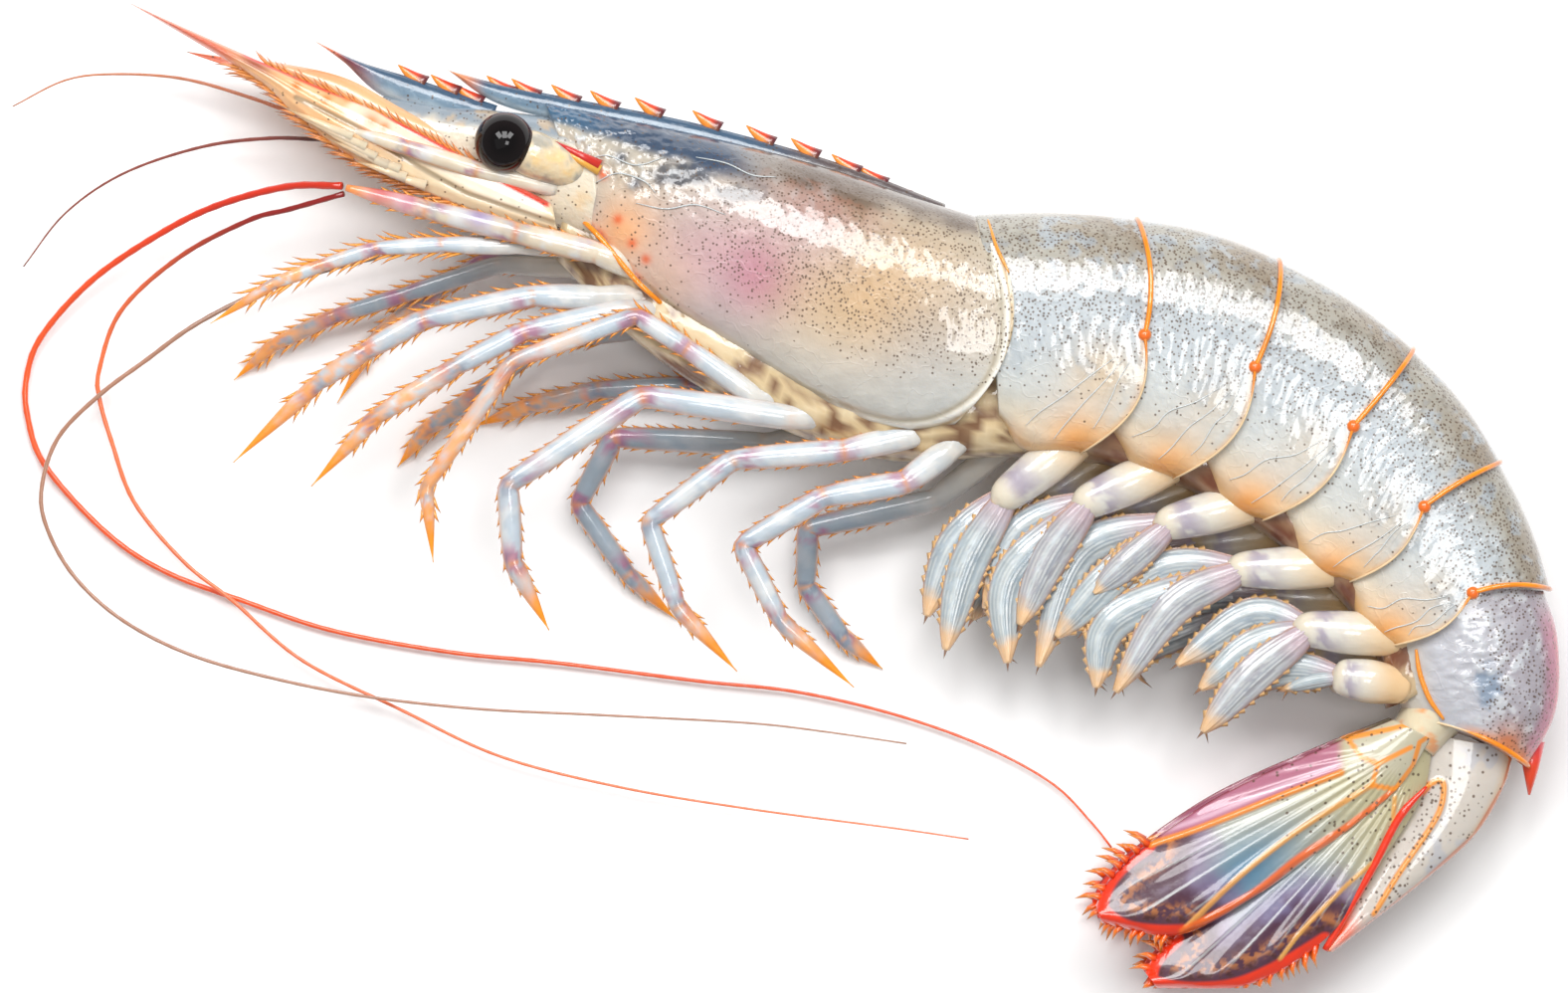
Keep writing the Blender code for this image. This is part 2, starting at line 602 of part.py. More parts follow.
def add_tail_fan(home):
    """Two plates on each side of the telson, the root that carries them and the spine above it."""
    plates = (("outer", OUTER_FAN_EDGES, OUTER_FAN_SPREAD), ("inner", INNER_FAN_EDGES, INNER_FAN_SPREAD))
    for side, splay in ((1, FAN_SPLAY_NEAR), (-1, FAN_SPLAY_FAR)):
        tag = "near" if side > 0 else "far"
        for name, edges, spread in plates:
            heights = [MIDPLANE + side * reach for reach in (spread, spread + splay)]
            blade(f"{name}_fan_{tag}", edges, heights, FAN_THICKNESS, side * FAN_ARCH, (7, 5), home)
    blade("telson", TELSON_EDGES, (MIDPLANE, MIDPLANE), TELSON_THICKNESS, 0, (8, 5), home)
    route = [(*photo(*place), MIDPLANE) for place in FAN_ROOT]
    radii = (FAN_ROOT_WIDTH / 2, FAN_ROOT_WIDTH / 2, FAN_ROOT_WIDTH / 2.4)
    tube("fan_root", route, radii, home, 10, 1.2)
    route = [(*photo(*place), MIDPLANE) for place in TAIL_SPINE]
    tube("tail_spine", route, TAIL_SPINE_RADII, home, 6)


def add_hinges(home):
    """The glossy balls on which the rings turn, half sunk in each flank."""
    for number, segment in enumerate(ABDOMEN):
        for side in (1, -1):
            height = MIDPLANE + side * (segment.rear_half_width * MM - HINGE_RADIUS * 0.45)
            ball(f"hinge_{number + 1}_{side}", (*photo(*segment.hinge), height), HINGE_RADIUS, home, 6, 4)


def apply_boolean(target, operation, solver, **operand):
    """One Boolean on the target, applied to its mesh."""
    modifier = target.modifiers.new(operation.lower(), "BOOLEAN")
    modifier.operation = operation
    modifier.solver = solver
    for key, value in operand.items():
        setattr(modifier, key, value)
    graph = bpy.context.evaluated_depsgraph_get()
    graph.update()
    joined = bpy.data.meshes.new_from_object(target.evaluated_get(graph))
    target.modifiers.clear()
    target.data = joined


def keep_largest_body(target):
    """Drops sealed hollows and loose scraps that the union leaves."""
    shape = bmesh.new()
    shape.from_mesh(target.data)
    left = set(shape.faces)
    bodies = []
    while left:
        body, edge = set(), [left.pop()]
        while edge:
            face = edge.pop()
            body.add(face)
            for near in {f for e in face.edges for f in e.link_faces} & left:
                left.discard(near)
                edge.append(near)
        bodies.append(body)
    largest = max(bodies, key=len)
    spare = [face for body in bodies if body is not largest for face in body]
    bmesh.ops.delete(shape, geom=spare, context="FACES")
    bmesh.ops.triangulate(shape, faces=shape.faces)
    shape.to_mesh(target.data)
    shape.free()


def rest_on_plane(target, home):
    """Cuts the small flat spots on which the animal lies, where it dips below the resting plane."""
    reach = SPAN
    low, high = -GROUND_DEPTH, 0.0
    outline = ((-reach, -reach), (reach, -reach), (reach, reach), (-reach, reach))
    corners = [(x, y, z) for z in (low, high) for x, y in outline]
    faces = [(3, 2, 1, 0), (4, 5, 6, 7), (0, 1, 5, 4), (1, 2, 6, 5), (2, 3, 7, 6), (3, 0, 4, 7)]
    ground = solid("ground", corners, faces, home)
    ground.hide_render = True
    ground.display_type = "WIRE"
    apply_boolean(target, "DIFFERENCE", "EXACT", object=ground)
    bpy.data.objects.remove(ground)


def make_body(home):
    """The whole animal without its whiskers, fused into one solid.

    The exact solver leaves faces here that touch along an edge, so the union is by the manifold one.
    """
    pieces = bpy.data.collections.new("pieces")
    bpy.context.scene.collection.children.link(pieces)
    add_shells(pieces)
    add_beak(pieces)
    add_eyes(pieces)
    add_scales(pieces)
    add_limbs(pieces)
    add_swimmerets(pieces)
    add_tail_fan(pieces)
    add_hinges(pieces)
    body = pieces.objects["carapace"]
    pieces.objects.unlink(body)
    home.objects.link(body)
    body.name = "shrimp_body"
    apply_boolean(body, "UNION", "MANIFOLD", operand_type="COLLECTION", collection=pieces)
    for piece in list(pieces.objects):
        bpy.data.objects.remove(piece)
    bpy.data.collections.remove(pieces)
    rest_on_plane(body, home)
    keep_largest_body(body)
    body.data.name = body.name
    body.data.materials.clear()
    body.data.materials.append(material("raw_shell", BODY_COLOUR))
    body.data.shade_smooth()


def whisker(name, home):
    root_height, rest_height, width, landmarks = WHISKERS[name]
    route = spline([photo(*p) for p in landmarks], even(len(landmarks) * 12))
    steps = np.concatenate([[0], np.cumsum(np.linalg.norm(np.diff(route, axis=0), axis=1))])
    count = max(int(steps[-1] / WHISKER_STEP), 10)
    shares = even(count)
    places = [np.interp(shares * steps[-1], steps, route[:, axis]) for axis in (0, 1)]
    fall = np.clip(1 - shares * steps[-1] / WHISKER_FALL, 0, 1) ** 2
    heights = (rest_height + (root_height - rest_height) * fall) * MM
    radii = width / 2 * MM * (1 - (1 - WHISKER_TIP_SHARE) * shares)
    made = tube(name, np.column_stack([*places, heights]), radii, home, WHISKER_SIDES)
    made.data.materials.append(material(name, WHISKER_COLOURS[name]))


def main():
    for old in list(bpy.data.objects):
        bpy.data.objects.remove(old)
    home = bpy.context.scene.collection
    make_body(home)
    for name in WHISKERS:
        whisker(name, home)


main()
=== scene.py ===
"""The looks of a whole raw freshwater shrimp that lies on its right flank, seen from above.

The landmarks are those of the solid: places in the side view are picture pixels, which photo() turns into
metres. Each visible part is a finer mesh over the solid's form. Paint tints its points by their place on the
animal, and the materials add specks, veins, wet gloss and a little light under the surface. Colours are given
as red, green and blue seen on a screen, 0 to 255.
"""

import math

import bmesh
import bpy
import numpy as np
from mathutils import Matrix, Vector, noise


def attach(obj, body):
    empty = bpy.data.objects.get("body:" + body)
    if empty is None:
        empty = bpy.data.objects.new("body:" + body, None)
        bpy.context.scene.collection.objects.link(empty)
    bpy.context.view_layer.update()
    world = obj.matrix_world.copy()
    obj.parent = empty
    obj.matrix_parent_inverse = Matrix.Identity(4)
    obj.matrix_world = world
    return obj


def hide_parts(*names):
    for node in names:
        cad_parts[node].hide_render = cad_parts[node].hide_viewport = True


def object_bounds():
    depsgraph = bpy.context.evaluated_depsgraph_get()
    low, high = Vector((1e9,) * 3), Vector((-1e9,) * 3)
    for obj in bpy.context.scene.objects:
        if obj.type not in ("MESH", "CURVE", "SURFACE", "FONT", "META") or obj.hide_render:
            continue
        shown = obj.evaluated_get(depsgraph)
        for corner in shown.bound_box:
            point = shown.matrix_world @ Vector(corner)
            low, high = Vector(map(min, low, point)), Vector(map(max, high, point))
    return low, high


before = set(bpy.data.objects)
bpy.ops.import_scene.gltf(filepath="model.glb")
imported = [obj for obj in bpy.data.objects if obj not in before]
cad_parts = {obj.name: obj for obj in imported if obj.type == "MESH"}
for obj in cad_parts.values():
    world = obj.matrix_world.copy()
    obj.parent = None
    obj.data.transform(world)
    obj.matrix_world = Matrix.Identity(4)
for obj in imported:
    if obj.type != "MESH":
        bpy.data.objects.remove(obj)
CAD_LOW, CAD_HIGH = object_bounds()

MM = 0.001
SPAN = 132.7 * MM
SPAN_PIXELS = 1561
PIXEL = SPAN / SPAN_PIXELS
CENTRE_U = 787.5
CENTRE_V = 498.5
PHOTO_WIDTH = 1576
PHOTO_HEIGHT = 998
MIDPLANE = 7.05 * MM
EYE_RADIUS = 2.55 * MM
EYE_SPREAD = 4.1 * MM
HINGE_RADIUS = 0.6 * MM
CORD_SIDES = 8
TUCK = 0.06
TOP_SQUARENESS = 0.86
RING_SQUARENESS = 0.8
UNDER_SQUARENESS = 0.45
PLATE_LOBE = 18
SEED = 7
FLOOR_REACH = 3.0
FLOOR_GAP = 0.0002
STUDIO_CENTRE = (0.01, 0.0, 0.007)
# Each light is a name, a place in metres, a power in watts, a width and a height in metres
LIGHTS = (
    ("window_1", (-0.2, 0.27, 0.48), 1.15, 0.16, 0.25),
    ("window_2", (0.0, 0.27, 0.48), 1.15, 0.16, 0.25),
    ("window_3", (0.2, 0.27, 0.48), 1.15, 0.16, 0.25),
    ("glint", (0.1, -0.02, 0.6), 0.5, 0.14, 0.14),
    ("overhead", (-0.2, -0.05, 0.7), 0.2, 0.5, 0.5),
)
SKY_STRENGTH = 0.35
CAMERA_LENS = 200
CAMERA_SENSOR = 36

# Stations or rows along each mesh, and its sides or columns
CARAPACE_MESH = (260, 220)
RING_MESH = (110, 200)
TAIL_MESH = (120, 180)
BELLY_MESH = (130, 60)
HEAD_MESH = (70, 60)
EYE_MESH = (49, 72)
STALK_MESH = (30, 28)
HINGE_MESH = (15, 22)
BEAK_MESH = (60, 17)
CREST_MESH = (120, 17)
TOOTH_MESH = (6, 10)
SCALE_MESH = (160, 45)
SMALL_SCALE_MESH = (60, 17)
SWIM_BLADE_MESH = (60, 21)
STEM_MESH = (36, 26)
FAN_MESH = (170, 81)
TELSON_MESH = (150, 91)
FAN_ROOT_MESH = (24, 36)
WHISKER_SIDES = 12

# Each rim is (back, side, belly) in pixels and the half-width there in mm
CARAPACE_RIMS = (
    ((548, 103), (566, 150), (575, 208), 2.9),
    ((640, 122), (630, 195), (636, 284), 4.6),
    ((740, 144), (735, 240), (740, 352), 6.1),
    ((840, 171), (850, 290), (838, 412), 7.0),
    ((915, 197), (940, 315), (905, 434), 7.3),
    ((986, 219), (1016, 331), (955, 430), 7.15),
)
HEAD_RIMS = (
    ((386, 97), (372, 112), (372, 128), 0.7),
    ((440, 106), (430, 135), (440, 168), 1.7),
    ((510, 112), (510, 155), (520, 212), 2.6),
    ((600, 125), (600, 180), (610, 250), 3.9),
)
BELLY_RIMS = (
    ((575, 190), (565, 225), (560, 262), 1.8),
    ((680, 280), (665, 315), (652, 354), 3.0),
    ((800, 340), (780, 378), (768, 424), 3.8),
    ((900, 370), (890, 415), (885, 462), 4.2),
    ((1010, 350), (1005, 405), (1002, 460), 4.6),
    ((1120, 370), (1095, 420), (1088, 464), 4.6),
    ((1220, 410), (1190, 450), (1178, 486), 4.5),
    ((1310, 470), (1275, 505), (1262, 532), 4.3),
    ((1390, 530), (1350, 565), (1334, 590), 4.0),
    ((1440, 600), (1405, 630), (1380, 652), 3.6),
    ((1460, 670), (1425, 695), (1392, 712), 3.0),
)
ABDOMEN_FRONT_BACK = (990, 216)
ABDOMEN_FRONT_HINGE = (1004, 325)
# Each ring is (back corner, hinge, side plate's front, low and tip, front and rear half-width in mm)
ABDOMEN = (
    ((1142, 222), (1147, 338), (1003, 425), (1026, 453), (1082, 457), 6.9, 7.2),
    ((1284, 264), (1257, 370), (1104, 428), (1136, 468), (1176, 482), 6.85, 7.15),
    ((1418, 353), (1355, 429), (1204, 468), (1230, 510), (1264, 524), 6.6, 6.9),
    ((1505, 466), (1426, 509), (1284, 524), (1312, 572), (1350, 586), 6.1, 6.4),
    ((1555, 593), (1475, 595), (1348, 586), (1368, 634), (1394, 649), 5.5, 5.7),
)
BACK_BULGE = (5, 9, 9, 9, 7)
TAIL_RIMS = (
    ((1548, 585), (1468, 596), (1384, 628), 4.9),
    ((1565, 640), (1485, 652), (1396, 668), 4.75),
    ((1564, 712), (1490, 700), (1403, 700), 4.3),
    ((1536, 770), (1482, 738), (1414, 720), 3.5),
)
BEAK_UPPER = ((314, 40), (362, 62), (420, 80), (500, 106))
BEAK_LOWER = ((314, 40), (345, 62), (392, 100), (492, 126))
CREST_UPPER = ((449, 70), (500, 84), (570, 98), (700, 124), (840, 163), (950, 205))
CREST_LOWER = ((449, 70), (500, 104), (580, 125), (700, 150), (840, 186), (950, 216))
BEAK_THICKNESS = 1.5 * MM
TOOTH_TIPS = (
    (400, 65), (433, 75), (457, 85), (489, 76), (514, 79), (554, 85), (593, 91), (638, 98),
    (696, 111), (750, 126), (795, 139), (836, 155), (863, 167), (886, 180),
)
TOOTH_REACH = 27
TOOTH_DROP = 20
TOOTH_RADIUS = 0.8 * MM
SCALE_UPPER = ((125, 1), (265, 64), (330, 92), (390, 118), (470, 160), (556, 206))
SCALE_LOWER = ((125, 1), (255, 78), (300, 118), (370, 168), (480, 214), (562, 236))
FAR_SCALE_TIP = (183, 50)
SMALL_SCALE_UPPER = ((262, 60), (345, 78), (410, 112), (500, 150))
SMALL_SCALE_LOWER = ((262, 60), (325, 98), (400, 132), (500, 176))

# Limbs: side (1 near, -1 far), foot width in mm, bristle length in mm, then the joints in pixels
LIMBS = {
    "antenna_root": (1, 2.3, 0.9, ((640, 270), (600, 255), (520, 235), (430, 212), (350, 190))),
    "far_antenna_root": (-1, 2.0, 0, ((650, 270), (600, 262), (540, 250), (470, 240))),
    "antennule_root": (1, 1.7, 0, ((560, 190), (480, 172), (410, 150), (356, 133))),
    "jaw_leg_1": (1, 1.7, 1.7, (
        (600, 250), (520, 248), (444, 247), (380, 251), (326, 268), (276, 287), (214, 326),
    )),
    "jaw_leg_2": (-1, 1.8, 1.4, ((610, 270), (500, 265), (402, 296), (332, 317), (270, 346), (230, 381))),
    "jaw_leg_3": (-1, 1.9, 1.2, ((640, 290), (560, 264), (483, 262), (422, 301), (380, 332), (335, 404))),
    "claw_leg_1": (1, 2.4, 1.2, (
        (690, 300), (600, 300), (537, 298), (427, 322), (368, 355), (321, 386), (237, 465),
    )),
    "claw_leg_2": (1, 2.2, 1.1, ((700, 320), (630, 312), (527, 334), (461, 369), (380, 419), (315, 489))),
    "claw_leg_3": (-1, 2.1, 1.1, ((720, 345), (640, 330), (545, 340), (480, 395), (426, 431), (396, 469))),
    "claw_leg_4": (1, 2.1, 1.1, (
        (860, 400), (760, 400), (690, 350), (640, 318), (516, 364), (430, 489), (437, 565),
    )),
    "claw_leg_5": (-1, 2.2, 1.2, ((860, 410), (760, 398), (690, 388), (601, 391), (530, 407), (473, 428))),
    "walking_leg_1": (1, 2.5, 0.8, ((900, 412), (794, 420), (646, 398), (512, 487), (517, 565), (553, 633))),
    "walking_leg_2": (-1, 2.3, 0.9, ((880, 430), (769, 446), (616, 439), (580, 506), (630, 578), (679, 624))),
    "walking_leg_3": (1, 2.5, 0.8, (
        (960, 415), (919, 437), (848, 453), (737, 462), (653, 524), (682, 610), (741, 674),
    )),
    "walking_leg_4": (1, 2.6, 0.8, (
        (990, 410), (950, 455), (909, 485), (828, 499), (746, 547), (785, 624), (858, 690),
    )),
    "walking_leg_5": (-1, 2.3, 0.9, (
        (1020, 440), (940, 503), (812, 531), (810, 589), (848, 642), (888, 674),
    )),
}
LIMB_NARROWING = 0.07
LIMB_TIP_RADIUS = 0.16 * MM
LIMB_ROOT_SPREAD = 2.6 * MM
LIMB_KNEE_SPREAD = 4.6 * MM
LIMB_HIP_SPREAD = 0.3 * MM
LIMB_TIP_SPREAD = 3.4 * MM
LIMB_FLATNESS = 0.8
LIMB_SIDES = 20

# Swimmerets: root and end of the stem, then the middle and tip (u, v, u, v) of each near blade
SWIMMERETS = (
    (
        (1112, 419), (1006, 501),
        ((960, 548, 931, 619), (972, 568, 950, 653)),
    ),
    (
        (1202, 455), (1086, 507),
        ((1026, 536, 990, 612), (1016, 580, 1012, 666), (1054, 560, 1024, 628)),
    ),
    (
        (1294, 496), (1168, 527),
        ((1086, 556, 1043, 670), (1108, 588, 1061, 640), (1132, 566, 1098, 596)),
    ),
    (
        (1372, 569), (1240, 572),
        ((1166, 574, 1088, 636), (1122, 622, 1101, 691), (1178, 610, 1120, 695)),
    ),
    (
        (1428, 642), (1306, 631),
        ((1256, 620, 1182, 668), (1256, 652, 1205, 692), (1258, 678, 1207, 735)),
    ),
    (
        (1412, 690), (1342, 679),
        ((1290, 672, 1236, 700), (1318, 684, 1290, 692)),
    ),
)
STEM_WIDTH = 3.6 * MM
STEM_FLATNESS = 0.85
SWIM_BLADE_WIDTH = 3.4 * MM
SWIM_BLADE_SHARE = 0.33
SWIM_BLADE_STEP = 0.5 * MM
FAR_SWIM_SHARE = 0.45
FAR_BLADE_LIFT = 36
SWIM_BLADE_THICKNESS = 0.9 * MM
SWIM_BLADE_FALL = 0.6 * MM
SWIM_SPREAD = 2.7 * MM

OUTER_FAN_EDGES = (
    ((1398, 722), (1334, 748), (1228, 796), (1150, 848), (1112, 884), (1100, 908)),
    ((1436, 742), (1402, 792), (1330, 850), (1255, 902), (1182, 938), (1106, 926)),
)
INNER_FAN_EDGES = (
    ((1406, 728), (1350, 792), (1270, 862), (1200, 922), (1160, 960), (1150, 976)),
    ((1440, 745), (1428, 800), (1388, 864), (1336, 938), (1255, 988), (1162, 992)),
)
TELSON_EDGES = (
    ((1420, 735), (1416, 800), (1386, 856), (1352, 912), (1331, 954)),
    ((1522, 752), (1512, 790), (1482, 840), (1428, 888), (1340, 957)),
)
FAN_ROOT = ((1470, 690), (1442, 716), (1420, 745))
FAN_ROOT_WIDTH = 5.4 * MM
FAN_SPLAY_NEAR = 0.8 * MM
FAN_SPLAY_FAR = 3.3 * MM
FAN_THICKNESS = 1.0 * MM
TELSON_THICKNESS = 2.6 * MM
FAN_ARCH = 0.7 * MM
TAIL_SPINE = ((1540, 745), (1537, 799))

# Whiskers: root height, resting height and root width in mm, then the route in pixels
WHISKERS = {
    "antennule_front": (
        7.6, 1.2, 0.42,
        ((346, 131), (310, 120), (250, 97), (180, 77), (110, 72), (60, 78), (7, 104)),
    ),
    "antennule_rear": (
        7.2, 0.5, 0.42,
        ((348, 137), (325, 140), (270, 138), (200, 146), (120, 172), (60, 212), (17, 266)),
    ),
    "antenna_upper": (
        10.5, 0.5, 0.66,
        (
            (345.5, 188.3), (290, 188), (220, 205), (161, 232), (89, 279), (36, 336), (20, 379), (21, 418),
            (39, 468), (100, 535), (160, 575), (240, 605), (330, 635), (450, 657), (560, 668), (700, 686),
            (800, 697), (900, 720), (990, 752), (1060, 790), (1100, 830), (1120, 855),
        ),
    ),
    "antenna_lower": (
        9.9, 1.35, 0.5,
        (
            (347, 196), (290, 211), (250, 221), (179, 257), (118, 311), (95, 371), (95, 400), (107, 443),
            (130, 505), (180, 565), (230, 605), (300, 665), (400, 715), (500, 762), (620, 793), (750, 815),
            (900, 835), (975, 846),
        ),
    ),
    "antenna_far": (
        4.0, 2.2, 0.5,
        (
            (461, 240), (400, 252), (330, 269), (257, 293), (193, 325), (143, 361), (96, 396), (54, 439),
            (37, 490), (42, 530), (70, 580), (120, 625), (190, 660), (280, 685), (370, 702), (480, 714),
            (600, 720), (750, 728), (830, 737), (912, 749),
        ),
    ),
}
WHISKER_TIP_SHARE = 0.3
WHISKER_STEP = 0.8 * MM
WHISKER_FALL = 38 * MM

# Lines and spots on the animal, painted or raised, in pixels. A blot is a column, a row and a radius
CARAPACE_MARGIN = (
    (640, 292), (690, 334), (760, 376), (830, 412), (890, 432),
    (940, 430), (985, 404), (1010, 360), (1014, 300), (994, 224),
)
CARAPACE_FRONT = ((569, 205), (586, 222), (604, 240), (622, 262), (642, 285), (664, 305), (690, 330))
CARAPACE_WRINKLES = (
    ((585, 165), (610, 158), (640, 168), (668, 160)),
    ((600, 185), (622, 176), (648, 184), (660, 196)),
    ((640, 206), (670, 212), (700, 208), (730, 218)),
    ((700, 160), (730, 166), (756, 178), (780, 180)),
)
CARAPACE_SEAM = ((992, 222), (1000, 250), (1012, 276))
CARAPACE_ORANGE_DOTS = ((603, 238), (622, 222), (618, 262), (640, 282), (607, 177), (636, 246), (650, 262))
CARAPACE_BLUE_DOTS = ((585, 182), (592, 203), (625, 160), (640, 186))
# Each is a colour, then column, row, radius, strength and squash
CARAPACE_PATCHES = (
    ((206, 164, 108), 885, 300, 88, 0.8, 1.3),
    ((196, 164, 122), 800, 290, 60, 0.45),
    ((180, 98, 126), 757, 277, 40, 0.7, 0.9),
    ((190, 142, 160), 700, 262, 58, 0.6),
    ((168, 132, 156), 815, 225, 55, 0.4),
    ((146, 156, 166), 930, 350, 60, 0.35),
    ((236, 164, 98), 625, 235, 34, 0.8),
    ((226, 178, 132), 665, 285, 40, 0.45),
)
# Each is a column and a row, then half the width and height
CARAPACE_SMUDGES = ((688, 178, 34, 13), (745, 198, 36, 12))
FEELER_PATCHES = (
    ((206, 60, 80), 385, 191, 22, 0.8),
    ((150, 128, 176), 484, 219, 14, 0.8),
    ((244, 140, 50), 352, 192, 18, 0.9),
    ((206, 110, 130), 412, 205, 14, 0.6),
)
TAIL_STREAK = (1492, 690)
TAIL_SPOT = ((190, 106, 50), 1512, 745, 18, 0.85)
TELSON_SPOT = ((238, 80, 24), 1345, 935, 18, 0.95)
# Columns or rows between which a coat of paint sets in. A band is a column and a width
OLIVE_COLUMNS = (800, 880)
PALE_COLUMNS = (720, 600)
NAVY_COLUMNS = (800, 720)
BLUE_COLUMNS = (640, 560)
BROWN_COLUMNS = (730, 810)
RUST_BAND = (830, 60)
MARGIN_COLUMNS = (640, 700)
SPECK_COLUMNS = (640, 780)
ROUGH_COLUMNS = (740, 600)
TAIL_SPINE_ROWS = (775, 750)
# Belly columns between the swimmeret stems, where dark red-brown is painted as shade
BELLY_SHADE_COLUMNS = ((1060, 1110), (1430, 1390))
BEAK_MAROON_COLUMNS = (392, 350)
BEAK_ORANGE_COLUMNS = (350, 328)
CREST_ORANGE_COLUMNS = (492, 462)
CREST_BROWN_COLUMNS = (740, 840)
SCALE_PEACH_COLUMNS = (450, 330)
SCALE_POINT_COLUMNS = (262, 216)
SCALE_DARK_BAND = (258, 18)
SCALE_STREAK_COLUMNS = (250, 210)
SCALE_EDGE_COLUMNS = (500, 420)
STRIP_COLUMNS = (1352, 1338)
FAN_PALE_COLUMNS = (1345, 1358)
FAN_PALE_ROWS = (790, 770)
EYE_CENTRE = (508.5, 145)
# Each is a column, a row, a distance from the middle plane and a radius in mm
EYE_STALK = (
    (590, 172, 1.5, 1.8), (570, 168, 2.4, 1.9), (552, 163, 3.0, 1.95), (535, 156, 3.4, 2.0),
    (520, 150, 3.7, 1.75),
)
HEAD_THORN = ((604, 168), (546, 138))
OUTER_FAN_HUB = (1420, 745)
INNER_FAN_HUB = (1425, 760)
FAN_INSIDE = (1400, 790)
FAN_FLOW = ((1400, 740), (1100, 960))
SCALE_RED = ((250, 56), (328, 90), (378, 108), (410, 128), (450, 150), (498, 180), (550, 206))
SCALE_FOLD = ((300, 100), (362, 130), (410, 162), (470, 196), (560, 226))
SCALE_SHINE = ((360, 114), (420, 148), (480, 184), (540, 212))
SCALE_BLOTS = (
    (375, 125, 9), (388, 130, 6), (415, 150, 6), (330, 102, 5), (352, 99, 5), (300, 88, 5), (452, 165, 4),
)
SCALE_SPIKES = (
    ((380, 160), (318, 128)), ((392, 168), (330, 140)), ((404, 172), (348, 150)), ((370, 150), (300, 118)),
    ((410, 180), (356, 162)), ((430, 188), (378, 172)), ((356, 140), (284, 108)),
)
SCALE_SPIKE_HEIGHT = 3.75 * MM
SCALE_ROOT_SPREAD = 3.2 * MM
SCALE_TIP_SPREAD = 2.2 * MM
SCALE_THICKNESS = 1.1 * MM
SMALL_SCALE_SPREAD = 1.0 * MM
SMALL_SCALE_THICKNESS = 1.2 * MM
PLATE_TIPS = ((1080, 451), (1168, 476), (1250, 512), (1333, 578), (1388, 641))
TAIL_FRONT_EDGE = ((1420, 652), (1424, 676), (1434, 702), (1448, 722))
TAIL_REAR_EDGE = (
    (1411, 717), (1430, 712), (1442, 730), (1456, 736), (1468, 728), (1488, 736), (1510, 752), (1530, 774),
)
FAN_STRIP = ((1345, 775), (1290, 796), (1205, 830), (1155, 847))
FAN_RIB = ((1377, 787), (1335, 812), (1292, 840), (1242, 880), (1190, 930))
FAN_SEAM = ((1402, 792), (1355, 828), (1305, 860), (1255, 898), (1187, 934))
INNER_RIB = ((1400, 800), (1392, 850), (1350, 890), (1310, 930), (1285, 962))
BLADE_RED = ((1432, 790), (1405, 820), (1380, 868), (1355, 912), (1331, 954))
BLADE_RIB = ((1432, 790), (1446, 784), (1450, 794), (1442, 822), (1405, 877), (1380, 918))
PROTOPOD = ((1415, 727), (1352, 741), (1366, 760), (1382, 766), (1415, 750))
PROTOPOD_SEAM = ((1382, 766), (1376, 788), (1400, 792), (1418, 768), (1424, 745), (1440, 735))
FAN_TIP_LINES = (
    (1187, 935), (1160, 935), (1130, 930), (1110, 918), (1104, 908), (1112, 885), (1130, 864), (1152, 847),
)
INNER_TIP_LINES = (
    (1330, 944), (1290, 968), (1245, 988), (1205, 993), (1170, 990), (1155, 982), (1160, 962), (1180, 942),
)


def photo(u, v):
    """The place in metres of a picture pixel."""
    return np.array(((u - CENTRE_U) * PIXEL, (CENTRE_V - v) * PIXEL))


def pixels(points):
    """The picture columns and rows of points in metres."""
    return points[..., 0] / PIXEL + CENTRE_U, CENTRE_V - points[..., 1] / PIXEL


def rgb(red, green, blue):
    """A linear colour from the red, green and blue seen on a screen, 0 to 255."""
    shares = np.array((red, green, blue)) / 255
    return np.where(shares <= 0.04045, shares / 12.92, ((shares + 0.055) / 1.055) ** 2.4)


def spline(rows, shares):
    """Rows of a Catmull-Rom curve through the given rows, at shares from 0 to 1 of its spans."""
    rows = np.asarray(rows, float)
    before = 2 * rows[:1] - rows[1:2]
    after = 2 * rows[-1:] - rows[-2:-1]
    knots = np.concatenate([before, rows, after])
    place = np.minimum(np.asarray(shares, float), 1 - 1e-9) * (len(rows) - 1)
    span = place.astype(int)
    t = (place - span)[:, None]
    a, b, c, d = (knots[span + i] for i in range(4))
    return 0.5 * (2 * b + (c - a) * t + (2 * a - 5 * b + 4 * c - d) * t**2 + (3 * b - 3 * c + d - a) * t**3)


def even(count):
    return np.linspace(0, 1, count)


def step(values, low, high):
    """0 below low, 1 above high and a smooth rise between. low may be the larger."""
    t = np.clip((values - low) / (high - low), 0, 1)
    return t * t * (3 - 2 * t)


def bump(values, centre, width):
    return np.exp(-(((values - centre) / width) ** 2))


def towards(start, end, share):
    return tuple(a + (b - a) * share for a, b in zip(start, end, strict=True))


def mottle(points, size, octaves=3):
    """Smooth noise from about -1 to 1 at each point, with blots about size across."""
    flat = points.reshape(-1, 3)
    values = [noise.fractal(Vector(p) / size, 1.0, 2.0, octaves) for p in flat]
    return np.array(values).reshape(points.shape[:-1])


def line_distance(u, v, route):
    """How many pixels each place lies from a line through picture pixels."""
    nearest = np.full(u.shape, 1e9)
    for (au, av), (bu, bv) in zip(route, route[1:]):
        du, dv = bu - au, bv - av
        share = np.clip(((u - au) * du + (v - av) * dv) / (du * du + dv * dv), 0, 1)
        nearest = np.minimum(nearest, np.hypot(u - au - share * du, v - av - share * dv))
    return nearest


def smooth_route(route, per_span=8):
    return [tuple(p) for p in spline(route, even((len(route) - 1) * per_span + 1))]


def raise_flanks(grid, height):
    """Moves points of a shell away from the animal's middle plane."""
    out = grid[..., 2] - MIDPLANE
    grid[..., 2] += height * np.sign(out) * step(np.abs(out), 0, 1 * MM)


